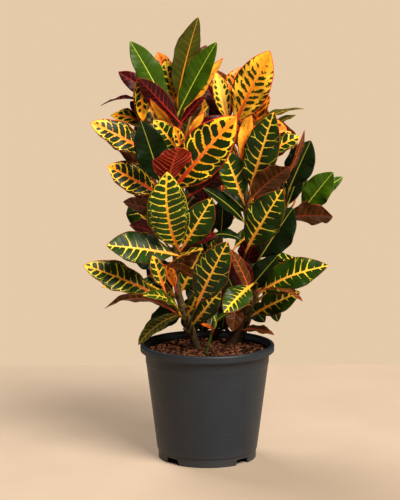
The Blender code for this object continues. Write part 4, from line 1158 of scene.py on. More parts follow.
    def marks(self) -> Wire:
        """Where the leaf is coloured: on the veins, and between the green fields.

        Returns:
            1 there and 0 on green.
        """
        look = self.look
        depth = self.vein_depth()
        if look.loop:
            depth = self.field_depth(depth) - self.narrowing()
        rough = 1.3 * look.vein + (0.09 * look.spacing if look.loop else 0.0) + look.speckle
        return self.band(depth, self.ragged * rough)

    def upper(self, marks: Wire) -> Wire:
        """The upper face's colour: green, then the marks, then midrib and margin.

        Args:
            marks: Where the leaf is coloured.

        Returns:
            The colour.
        """
        s, look = self.shading, self.look
        tone = self.broad * 1.3 + self.ragged * 0.5
        green = s.blend(s.math("SUBTRACT", tone, 0.25, clamp=True), srgb(*look.dark), srgb(*look.light))
        ink = s.blend(s.step(self.share + self.ragged, 0.05, 0.75), srgb(*look.near), srgb(*look.outer))
        rib = s.blend(s.step(self.upto + self.ragged, 0.15, 0.8), srgb(*look.rib_base), srgb(*look.rib_tip))
        colour = s.blend(self.band(self.out, self.rib_width), s.blend(marks, green, ink), rib)
        rim_width = self.ragged * (0.9 * look.edge) + look.edge
        return s.blend(self.band(self.inner, rim_width, 0.3), colour, srgb(*look.rim))

    def lower(self, marks: Wire) -> Wire:
        """The lower face's colour: dull and darkened as painted shade, with a raised pale midrib and faint
        side veins.

        Args:
            marks: Where the leaf is coloured.

        Returns:
            The colour.
        """
        s, look = self.shading, self.look
        base = s.blend(self.broad, srgb(*look.under), tuple(0.6 * x for x in srgb(*look.under)))
        colour = s.blend(marks * 0.3, base, srgb(*look.under_rib))
        return s.blend(self.band(self.out, (1.3 - self.share) * 1.1), colour, srgb(*look.under_rib))

    def make(self) -> Material:
        """Paints both faces and the petiole, and raises the leaf between its side veins.

        Returns:
            The finished material.
        """
        s, look = self.shading, self.look
        self.lines()
        marks = self.marks()
        colour = self.upper(marks)
        if not look.both_sides:
            colour = s.blend(s.attribute("under"), colour, self.lower(marks))
        stalk = s.blend(s.step(self.along, -22.0, 0.0), STALK, srgb(*look.rib_base))
        colour = s.blend(s.attribute("stalk"), colour, stalk)
        cell = s.step(self.from_line, 0.0, 0.38 * look.spacing)
        s.bump(cell + self.grain * 0.16, 0.18, 0.0012)
        return s.finish(colour, self.grain * 0.14 + (look.gloss - 0.06), 0.17)


# ---- leaves ----
@dataclass
class LeafSkin:
    """The fine closed surface of one leaf: petiole rings, then blade rings, with poles at both ends."""

    leaf: Leaf
    root: Array
    seed: float
    along_cells: int = 46
    half_cells: int = 10
    stalk_cells: int = 9
    sheet: float = 0.8
    sheet_edge: float = 0.3
    keel: float = 1.0
    keel_width: float = 1.5
    groove: float = 0.35
    groove_width: float = 1.1
    fine_wave: float = 0.011
    fine_waves: float = 7.1
    frill: float = 0.025
    frill_waves: float = 3.3
    grip_length: float = 0.05
    point: float = 0.22
    stalk_waist: float = 0.86
    stalk_flat: float = 0.2
    map_margin: tuple[float, float] = (0.012, 0.03)
    map_share: tuple[float, float] = (0.976, 0.94)

    def v_places(self) -> Array:
        """Returns v round a section: from -1 to 1 on the upper face, and back on the lower face."""
        there = np.linspace(-1.0, 1.0, 2 * self.half_cells + 1)
        return np.concatenate([there, there[-2:0:-1]])

    def under_places(self) -> Array:
        """Returns which of a section's places are on the lower face."""
        return np.arange(4 * self.half_cells) > 2 * self.half_cells

    def widths(self, u: Array) -> Array:
        """The section's half width: the blade's outline with a small frill, never less than its grip.

        The grip falls off from the start as exp(-u / 0.05) down to the point's own, so the outline closes
        on the petiole and ends in a fine point.

        Args:
            u: Shares of the way from start to tip.

        Returns:
            The half widths, in millimetres.
        """
        leaf = self.leaf
        frill = np.sin(2 * math.pi * (self.frill_waves * u + self.seed)) * np.sin(math.pi * u)
        outline = half_width(u, leaf.width) * (1 + self.frill * frill)
        grip = BASE_GRIP * leaf.slim() * np.exp(-u / self.grip_length) + self.point
        return np.hypot(outline, grip)

    def blade_rings(self) -> tuple[Array, Array, Array]:
        """The blade's sections.

        A section's middle line stands above the midrib by the leaf's lift and a finer wave; the faces
        lie on either side of it by half the sheet, which thins to the margin, with a keel below the
        midrib and a groove above it. Sections stand closer together at both ends.

        Returns:
            Points as (ring, place, 3), u for each ring, and half widths for each ring.
        """
        leaf = self.leaf
        u = smooth_step(np.linspace(0.0, 1.0, self.along_cells + 1), -0.25, 1.25)
        u = (u - u[0]) / (u[-1] - u[0])
        v = self.v_places()
        s, _offset = leaf.frame()
        centre, _way, up = leaf.midrib(u)
        h = self.widths(u)[:, None]
        side = np.abs(v)[None, :]
        lift = leaf.lift(u[:, None], v[None, :])
        turns = self.fine_waves * u[:, None] + 3 * self.seed + 0.37 * np.sign(v)[None, :]
        fine = np.sin(2 * math.pi * turns) * side**2 * np.sin(math.pi * u[:, None])
        lift = lift + self.fine_wave * leaf.width * fine
        out = side * h
        half = 0.5 * (self.sheet + (self.sheet_edge - self.sheet) * side**2) * np.sqrt(1.0 - 0.98 * side**8)
        swell = (1 - u[:, None]) ** 0.6
        keel = self.keel * swell * np.exp(-((out / self.keel_width) ** 2)) * leaf.slim()
        groove = self.groove * swell * np.exp(-((out / self.groove_width) ** 2))
        groove = groove * smooth_step(u, 0.02, 0.12)[:, None]
        stand = np.where(self.under_places()[None, :], -(half + keel), half - groove)
        flat = v[None, :] * h * math.cos(math.radians(FOLD))
        rings = centre[:, None] + flat[:, :, None] * s + (lift + stand)[:, :, None] * up[:, None]
        return rings, u, h[:, 0]

    def stalk_rings(self) -> Array:
        """The petiole's sections: ellipses along its parabola, widest at the stem, flatter at the blade.

        Returns:
            Points as (ring, place, 3).
        """
        leaf = self.leaf
        t = np.linspace(0.0, 1.0, self.stalk_cells, endpoint=False)
        centre, way = leaf.petiole(self.root, t)
        way = units(way)
        s, _offset = leaf.frame()
        across = units(s - way * (way @ s)[:, None])
        over = np.cross(across, way)
        turn = np.where(self.under_places(), -1.0, 1.0) * np.arccos(np.clip(self.v_places(), -1, 1))
        flare = self.stalk_waist + (PETIOLE_FLARE - self.stalk_waist) * (1 - t) ** 3
        radius = PETIOLE_RADIUS * leaf.slim() * flare
        wide = radius[:, None] * np.cos(turn)[None]
        high = radius[:, None] * np.sin(turn)[None] * (1.0 - self.stalk_flat * t[:, None])
        return centre[:, None] + wide[:, :, None] * across[:, None] + high[:, :, None] * over[:, None]

    def surface(self, cell: tuple[int, int, int], slot: int) -> Surface:
        """The leaf's closed surface with everything that its material reads.

        Args:
            cell: The leaf's number in its piece, the piece's leaves, and how many columns its map has.
            slot: The material slot.

        Returns:
            The surface, in metres.
        """
        blade, u, h = self.blade_rings()
        rings = np.vstack([self.stalk_rings(), blade])
        leaf = self.leaf
        made = tube_surface(rings, (rings[0].mean(axis=0), leaf.tip))
        made.slot = slot
        length = float(np.linalg.norm(leaf.tip - leaf.start))
        stalk_length = float(np.linalg.norm(leaf.start - self.root))
        t = np.linspace(-stalk_length, 0.0, self.stalk_cells, endpoint=False)
        along = np.concatenate([t, u * length])
        half = np.concatenate([np.full(self.stalk_cells, BASE_GRIP), h])
        all_round = np.ones((1, rings.shape[1]))
        on_ring = {
            "along": along[:, None] * all_round,
            "across": self.v_places()[None, :] * half[:, None],
            "half": half[:, None] * all_round,
            "stalk": smooth_step(-along, -3.0, 1.0)[:, None] * all_round,
        }
        ends = {"along": (along[0], length), "across": (0, 0), "half": (BASE_GRIP, h[-1]), "stalk": (1, 0)}
        made.on_points = {key: np.concatenate([on_ring[key].ravel(), ends[key]]) for key in on_ring}
        made.on_points["seed"] = np.full(len(made.points), self.seed)
        made.on_points["length"] = np.full(len(made.points), length)
        self.lay_out(made, along, cell)
        return made

    def lay_out(self, made: Surface, along: Array, cell: tuple[int, int, int]) -> None:
        """Lays the upper and the lower face in two boxes of the piece's map, and marks the lower face.

        Args:
            made: The surface to add the map to.
            along: The rings' places along the leaf.
            cell: The leaf's number in its piece, the piece's leaves, and how many columns its map has.
        """
        n = 2 * self.half_cells
        places = 2 * n
        share = (along - along[0]) / (along[-1] - along[0])
        ring, k = np.divmod(np.arange((len(along) - 1) * places), places)
        corner_ring = np.stack([ring, ring, ring + 1, ring + 1], -1)
        corner_k = np.stack([k, k + 1, k + 1, k], -1)
        k3 = np.arange(places)
        tri_k = np.concatenate([np.stack([k3 + 0.5, k3 + 1, k3], -1), np.stack([k3 + 0.5, k3, k3 + 1], -1)])
        tri_share = np.zeros((2 * places, 3))
        tri_share[:places] = (0.0, 0.006, 0.006)
        tri_share[places:] = (1.0, 0.994, 0.994)
        x = np.concatenate([0.006 + 0.988 * share[corner_ring].ravel(), tri_share.ravel()])
        spot = np.concatenate([corner_k.ravel().astype(float), tri_k.ravel()])
        under = np.concatenate([np.repeat(k >= n, 4), np.repeat(np.tile(k3 >= n, 2), 3)])
        y = np.where(under, 2.0 - spot / n, spot / n)
        index, leaves, columns = cell
        rows = math.ceil(2 * leaves / columns)
        row, column = np.divmod(2 * index + under, columns)
        across = (column + self.map_margin[0] + self.map_share[0] * x) / columns
        up = (row + self.map_margin[1] + self.map_share[1] * y) / rows
        made.on_corners = {"under": under.astype(float), "OFBake": np.stack([across, up], -1)}


@cache
def leaf_material(look: str) -> Material:
    """Returns the material of a leaf look, made once."""
    return LeafPaint(look, LeafLook[look].value).make()


@dataclass
class Foliage:
    """All the leaves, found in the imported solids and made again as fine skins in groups."""

    paths: Arrays
    group_size: int = 6
    map_columns: int = 2
    seed: int = 5

    def find(self) -> dict[str, list[Leaf]]:
        """Finds every leaf in the solids.

        Returns:
            Each stem's leaves.
        """
        finder = LeafFinder()
        found: dict[str, list[Leaf]] = {stem: [] for stem in STEMS}
        missed = []
        tries = [(leaf, SIZES) for leaf in drawn_leaves()]
        tries += [(leaf, FAR_SIZES) for leaf in far_leaves(self.paths)]
        for leaf, sizes in tries:
            placed = finder.find(leaf, sizes)
            if placed is None:
                missed.append(leaf.name)
            else:
                found[leaf.stem].append(placed)
        log.info("leaves found: %d, not in the solids: %s", sum(map(len, found.values())), missed)
        return found

    def build(self) -> None:
        """Builds every stem's leaves as pieces of a few leaves each, from the lowest up."""
        draw = np.random.default_rng(self.seed)
        for stem, leaves in self.find().items():
            leaves.sort(key=lambda leaf: leaf.start[2] + leaf.tip[2])
            parts = max(1, round(len(leaves) / self.group_size))
            for k, group in enumerate(np.array_split(np.arange(len(leaves)), parts)):
                members = [leaves[i] for i in group]
                names = sorted({leaf.look for leaf in members})
                skins = []
                for i, leaf in enumerate(members):
                    skin = LeafSkin(leaf, root_of(leaf, self.paths[stem]), float(draw.uniform(0.05, 0.95)))
                    cell = (i, len(members), self.map_columns)
                    skins.append(skin.surface(cell, names.index(leaf.look)))
                piece = make_piece(f"{stem}_leaves_{k + 1}", skins, [leaf_material(name) for name in names])
                settle(piece, "shoot" if stem == "seedling" else "foliage", stem)


# ---- stems ----
@dataclass(frozen=True)
class Wood:
    """Stem wood: streaked along its length, with pale leaf scars, and greener towards its top."""

    name: str
    old: Triple
    young: Triple
    scar: Triple
    shade: Triple = (0.012, 0.008, 0.005)

    def make(self) -> Material:
        """Makes the wood from values stored on the stem: `height` up it, and `scar` on its scars.

        Returns:
            The material.
        """
        s = Shading(self.name)
        place = s.place()
        grain = s.noise(s.scaled(place, (1.0, 1.0, 0.16)), 900.0, 4.0, 0.6)
        patch = s.noise(place, 120.0, 3.0)
        colour = s.blend(s.step(s.attribute("height") + patch * 0.3, 0.3, 1.0), self.old, self.young)
        colour = s.blend(s.step(grain, 0.62, 0.30), colour, s.blend(0.62, colour, self.shade))
        colour = s.blend(s.attribute("scar") * s.step(patch, 0.3, 0.7), colour, self.scar)
        s.bump(grain + patch * 0.6, 0.6, 0.0008)
        return s.finish(colour, s.step(grain, 0.2, 0.8, 0.55, 0.8))


class WoodLook(Enum):
    """The woods of the plant's stems."""

    olive = Wood("olive_wood", srgb(80, 61, 28), srgb(88, 86, 34), srgb(134, 106, 60))
    brown = Wood("brown_wood", srgb(70, 44, 24), srgb(82, 60, 28), srgb(120, 84, 50))
    green = Wood("green_shoot", srgb(84, 110, 36), srgb(104, 138, 44), srgb(130, 140, 60))


STEM_WOODS = {
    "left_stem": WoodLook.olive,
    "right_stem": WoodLook.brown,
    "centre_stem": WoodLook.brown,
    "side_stem": WoodLook.olive,
    "seedling": WoodLook.green,
}


@dataclass
class WoodyStems:
    """The stems as ringed, slightly crooked wood, with their short cut-off shoots."""

    paths: Arrays
    step: float = 1.6
    sides: int = 22
    scar_spacing: float = 8.5
    scar_jitter: float = 2.2
    scar_height: float = 0.45
    scar_width: float = 0.9
    knots: float = 0.35
    sunk: float = 6.0
    tip_round: float = 1.6
    tip_rise: float = 1.2
    cut_share: float = 0.86
    stub_sag: float = 2.0
    seed: int = 3

    def rings(self, path: Array, low: float, high: float, draw: np.random.Generator) -> Surface:
        """One stem's skin.

        The radius falls evenly from low to high; on it stand leaf scars, exp(-(distance / width)^2) high
        at steps of about the scar spacing and stronger on one side, and two slow lobes that turn with
        height.

        Args:
            path: The stem's path, in millimetres.
            low: The radius at the soil.
            high: The radius at the top.
            draw: The draws for scars and knots.

        Returns:
            The surface, in metres.
        """
        lengths = np.concatenate([[0.0], np.cumsum(np.linalg.norm(np.diff(path, axis=0), axis=1))])
        count = int(lengths[-1] / self.step) + 1
        at = np.linspace(0.0, lengths[-1], count)
        centre = np.stack([np.interp(at, lengths, path[:, k]) for k in range(3)], -1)
        share = at / at[-1]
        scars = np.arange(self.scar_spacing, at[-1] - 4, self.scar_spacing)
        scars = scars + draw.uniform(-self.scar_jitter, self.scar_jitter, len(scars))
        sides = draw.uniform(0, 2 * math.pi, len(scars))
        turn = circle(self.sides)
        near = np.exp(-(((at[:, None] - scars[None]) / self.scar_width) ** 2))
        facing = 0.55 + 0.45 * np.cos(turn[None, None] - sides[None, :, None])
        scar = np.einsum("is,xsk->ik", near, facing)
        lobes = self.knots * np.sin(2 * turn[None] + at[:, None] / 23.0) * np.sin(at[:, None] / 17.0)
        radius = (low + (high - low) * share)[:, None] * (1 + 0.02 * np.sin(3 * turn)[None])
        radius = radius + self.scar_height * scar + lobes
        ends = (1 - 0.55 * np.exp(-(at[-1] - at) / self.tip_round))[:, None]
        tip = centre[-1] + unit(centre[-1] - centre[-2]) * self.tip_rise
        made = tube_surface(path_rings(centre, radius * ends, self.sides), (centre[0], tip))
        tall = np.concatenate([np.repeat(share, self.sides), [0.0, 1.0]])
        scarred = np.concatenate([np.clip(scar, 0, 1).ravel(), [0.0, 0.0]])
        made.on_points = {"height": tall, "scar": scarred}
        return made

    def stub(self, path: Array, end: Sequence[float], height: float, radius: float) -> Surface:
        """A cut-off shoot: a short tube from the stem's axis to its cut, which is a flat disc.

        Args:
            path: The stem's path.
            end: The middle of the cut.
            height: The height where the shoot leaves the stem.
            radius: The shoot's radius.

        Returns:
            The surface, in metres.
        """
        root = stem_point(path, height)
        end = np.array(end, float)
        t = np.linspace(0.0, 1.0, 12)[:, None]
        centre = root + (end - root) * t + np.array([0, 0, -self.stub_sag]) * (4 * t * (1 - t))
        radii = radius * (1 + 0.05 * np.sin(9 * t[:, 0]))
        centre = np.vstack([centre, centre[-1]])
        rings = path_rings(centre, np.append(radii, radii[-1]), self.sides)
        rings[-1] = centre[-1] + (rings[-2] - centre[-1]) * self.cut_share
        made = tube_surface(rings, (centre[0], centre[-1]))
        scar = np.zeros(len(made.points))
        scar[-1] = 1.0
        made.on_points = {"height": np.zeros(len(scar)), "scar": scar}
        return made

    def build(self) -> None:
        """Builds each stem with its shoots, from a little below the bark up."""
        woods = {look: look.value.make() for look in WoodLook}
        draw = np.random.default_rng(self.seed)
        for stem, (low, high, *_points) in STEMS.items():
            path = self.paths[stem]
            foot = path[0] - (0, 0, self.sunk)
            whole = np.vstack([foot, smooth_path(path, 2)])
            surfaces = [self.rings(whole, low, high, draw)]
            surfaces += [self.stub(path, end, height, r) for name, height, end, r in STUBS if name == stem]
            piece = make_piece(f"{stem}_wood", surfaces, [woods[STEM_WOODS[stem]]])
            settle(piece, "shoot" if stem == "seedling" else "foliage", stem)


# ---- pot ----
@dataclass(frozen=True)
class CharcoalPlastic:
    """Moulded plastic: slightly mottled, with fine turning lines, faint scuffs and a dusty foot."""

    low: Triple = srgb(26, 32, 40)
    high: Triple = srgb(35, 42, 51)
    scuff: Triple = srgb(74, 77, 82)
    dust: Triple = srgb(104, 96, 86)
    dust_height: float = 0.030
    line_pitch: float = 0.0023

    def make(self) -> Material:
        """Makes the plastic.

        Returns:
            The material.
        """
        s = Shading("charcoal_plastic")
        place = s.place()
        height = s.above(place)
        mottle = s.noise(place, 26.0, 4.0, 0.6)
        grain = s.noise(place, 1500.0)
        rub = s.noise(s.scaled(place, (3.0, 3.0, 60.0)), 9.0, 5.0, 0.65)
        scuff = s.step(rub, 0.58, 0.74) * s.step(mottle, 0.42, 0.62)
        colour = s.blend(scuff * 0.35, s.blend(mottle, self.low, self.high), self.scuff)
        dust = s.step(height, self.dust_height, 0.0) * s.step(grain, 0.3, 0.7)
        colour = s.blend(dust * 0.2, colour, self.dust)
        lines = s.math("SINE", height * (2 * math.pi / self.line_pitch))
        s.bump(grain * 0.5 + lines * 0.10 + rub * 0.25, 0.35, 0.0004)
        return s.finish(colour, s.step(mottle, 0.2, 0.8, 0.42, 0.52) + scuff * 0.12, 0.34)


@dataclass
class NurseryPot:
    """The moulded pot: a fine turned shell with its notches and drain holes cut."""

    segments: int = 192
    foot_radius: float = 77.0
    foot_height: float = 13.0
    body_radius: float = 78.6
    collar_z: float = 152.0
    collar_low_radius: float = 95.4
    collar_radius: float = 96.8
    collar_top_z: float = 173.5
    rim_under_z: float = 169.5
    rim_radius: float = 105.0
    rim_lip: float = 2.4
    rim_top_z: float = 181.0
    rim_inner_radius: float = 99.2
    wall: float = 2.2
    floor_z: float = 10.0
    notch_width: float = 27.0
    notch_height: float = 9.0
    notch_taper: float = 0.86
    notch_corner: float = 1.6
    notch_reach: float = 7.0
    notch_azimuths: tuple[float, ...] = (45.0, 135.0, 225.0, 315.0)
    drain_radius: float = 6.0
    drain_ring: float = 58.0
    drain_sides: int = 32
    drain_azimuths: tuple[float, ...] = (0.0, 90.0, 180.0, 270.0)
    corner_points: int = 5
    wall_points: int = 12
    long_wall: float = 30.0
    plastic: CharcoalPlastic = CharcoalPlastic()

    def section(self) -> Array:
        """The wall's section, once round from the foot, in millimetres.

        Returns:
            Its corners as (radius, height, how far the corner is rounded).
        """
        inside = self.collar_low_radius - self.wall
        foot_inside = self.foot_radius - self.wall
        return np.array([
            (self.foot_radius, 0.0, 0.8),
            (self.foot_radius, self.foot_height - 0.6, 0.5),
            (self.body_radius, self.foot_height + 1.2, 0.8),
            (self.collar_low_radius + 0.2, self.collar_z - 3.0, 1.2),
            (self.collar_radius - 0.4, self.collar_z - 0.5, 1.2),
            (self.collar_radius + 0.5, self.collar_top_z, 0.4),
            (self.rim_radius - self.rim_lip, self.collar_top_z + 1.0, 0.4),
            (self.rim_radius - self.rim_lip, self.rim_under_z, 0.3),
            (self.rim_radius - 0.2, self.rim_under_z, 0.9),
            (self.rim_radius, self.rim_top_z - 1.5, 2.4),
            (self.rim_radius - 2.6, self.rim_top_z, 1.6),
            (self.rim_inner_radius, self.rim_top_z - 0.3, 1.0),
            (self.rim_inner_radius - 0.1, self.rim_top_z - 3.0, 1.2),
            (self.collar_radius + 0.5 - self.wall, self.collar_top_z - 1.0, 1.5),
            (self.collar_radius - self.wall, self.collar_z + 1.0, 1.0),
            (inside, self.collar_z - 3.0, 2.0),
            (self.body_radius - self.wall, self.foot_height + 2.0, 1.0),
            (self.body_radius - self.wall - 2.0, self.floor_z + self.wall, 1.5),
            (0.0, self.floor_z + self.wall, 0.0),
            (0.0, self.floor_z, 0.0),
            (foot_inside - 0.6, self.floor_z, 0.8),
            (foot_inside, 0.0, 0.4),
        ])

    def profile(self) -> Array:
        """The section with its corners rounded.

        Each corner is the parabola between the points one corner radius away on both sides, with the
        corner as its middle; long straight walls are divided evenly.

        Returns:
            Points (radius, height) in order.
        """
        corners = self.section()
        spots, radii = corners[:, :2], corners[:, 2]
        before, after = np.roll(spots, 1, axis=0), np.roll(spots, -1, axis=0)
        rows: list[Array] = []
        for spot, back, ahead, r in zip(spots, before, after, radii):
            gap = float(np.linalg.norm(ahead - spot))
            if r:
                t = np.linspace(0.0, 1.0, self.corner_points)[:, None]
                start = spot + unit(back - spot) * min(r, 0.45 * float(np.linalg.norm(back - spot)))
                end = spot + unit(ahead - spot) * min(r, 0.45 * gap)
                rows.append(bezier(start, spot, end, t)[0])
            else:
                rows.append(spot[None])
            if gap > self.long_wall and spot[0] and ahead[0]:
                steps = np.linspace(0.0, 1.0, self.wall_points)[1:-1, None]
                rows.append(spot + (ahead - spot) * steps)
        return np.vstack(rows)

    def shell(self) -> Surface:
        """The profile turned about the axis, with its two points on the axis as poles.

        Returns:
            The surface, in metres.
        """
        profile = self.profile()
        first = int(np.argmax(profile[:, 0] == 0.0)) + 1
        bottom, *ring, top = np.roll(profile, -first, axis=0)
        r, z = np.hsplit(np.array(ring), 2)
        turn = circle(self.segments)
        rings = np.stack([r * np.cos(turn), r * np.sin(turn), z + 0 * turn], -1)
        return tube_surface(rings, (np.array([0, 0, bottom[1]]), np.array([0, 0, top[1]])))

    def notch(self, azimuth: float) -> Surface:
        """A block across the foot ring, narrower at its top and rounded in section.

        Args:
            azimuth: Where round the foot it stands, in degrees.

        Returns:
            The block's surface, in metres.
        """
        across, out = around(azimuth + 90.0), around(azimuth)
        half, corner = 0.5 * self.notch_width, self.notch_corner
        top = half * self.notch_taper
        bend = np.linspace(0.0, math.pi / 2, self.corner_points)
        rise = self.notch_height - corner * (1 - np.sin(bend))
        right = np.vstack([[half, -1.0], np.stack([top - corner * (1 - np.cos(bend)), rise], -1)])
        outline = np.vstack([right, right[::-1] * (-1, 1)])
        ends = np.array([self.foot_radius - self.notch_reach, self.foot_radius + self.notch_reach])
        flat = outline[:, 0, None] * across + outline[:, 1, None] * np.array([0, 0, 1.0])
        rings = flat[None] + ends[:, None, None] * out
        return tube_surface(rings, (rings[0].mean(axis=0), rings[1].mean(axis=0)))

    def drain(self, azimuth: float) -> Surface:
        """A drain hole's round cutter, through the floor.

        Args:
            azimuth: Where round the floor it stands, in degrees.

        Returns:
            The cutter's surface, in metres.
        """
        turn = circle(self.drain_sides)
        hub = around(azimuth, self.drain_ring)
        ring = hub + self.drain_radius * np.stack([np.cos(turn), np.sin(turn), 0 * turn], -1)
        low, high = (0, 0, self.floor_z - 2.0), (0, 0, self.floor_z + self.wall + 2.0)
        return tube_surface(np.stack([ring + low, ring + high]), (hub + low, hub + high))

    def build(self) -> None:
        """Builds the shell, cuts its notches and drain holes in one Boolean, and settles it."""
        pot = make_piece("pot_shell", [self.shell()], [self.plastic.make()])
        cuts = [make_piece(f"cut_{k}", [self.notch(a)]) for k, a in enumerate(self.notch_azimuths)]
        cuts += [make_piece(f"hole_{k}", [self.drain(a)]) for k, a in enumerate(self.drain_azimuths)]
        cut_away(pot, cuts)
        settle(pot, "pot", "pot")


def cut_away(target: Piece, pieces: Sequence[Piece]) -> None:
    """Takes closed pieces away from a closed target, applies it, and removes the pieces.

    Args:
        target: The object to cut.
        pieces: The objects to cut with.
    """
    group = bpy.data.collections.new("cuts")
    bpy.context.scene.collection.children.link(group)
    for piece in pieces:
        bpy.context.scene.collection.objects.unlink(piece)
        group.objects.link(piece)
    step = target.modifiers.new("cut", "BOOLEAN")
    step.operation = "DIFFERENCE"
    step.operand_type = "COLLECTION"
    step.collection = group
    step.solver = "MANIFOLD"
    bpy.context.view_layer.update()
    mesh = bpy.data.meshes.new_from_object(target.evaluated_get(bpy.context.evaluated_depsgraph_get()))
    target.modifiers.clear()
    target.data = mesh
    for piece in pieces:
        bpy.data.objects.remove(piece, do_unlink=True)
    bpy.data.collections.remove(group)
    mesh.shade_smooth()
    mesh.set_sharp_from_angle(angle=math.radians(40.0))


# ---- potting bark ----
@dataclass(frozen=True)
class ChippedBark:
    """Red-brown bark: each chip has its own tone, with fibres and pale scuffs; the gaps between the chips are
    painted dark as shade.
    """

    # the chips' darkest tone, which is also the painted shade in the gaps between them
    dark: Triple = srgb(22, 10, 5)
    light: Triple = srgb(152, 93, 62)
    fibre: Triple = srgb(16, 8, 5)
    scuff: Triple = srgb(138, 90, 64)
    contrast: float = 1.5

    def make(self) -> Material:
        """Makes the bark from the `tone` stored on each chip and on the body; the body's near-black tone is
        painted shade in the gaps.

        Returns:
            The material.
        """
        s = Shading("potting_bark")
        place = s.place()
        fibre = s.noise(place, 700.0, 4.0, 0.65)
        patch = s.noise(place, 160.0, 3.0)
        colour = s.blend(s.math("POWER", s.attribute("tone"), self.contrast), self.dark, self.light)
        colour = s.blend(s.step(fibre, 0.55, 0.25), colour, self.fibre)
        colour = s.blend(s.step(patch, 0.55, 0.8) * 0.4, colour, self.scuff)
        s.bump(fibre + patch, 0.7, 0.0011)
        return s.finish(colour, s.step(fibre, 0.2, 0.8, 0.72, 0.95), 0.15)


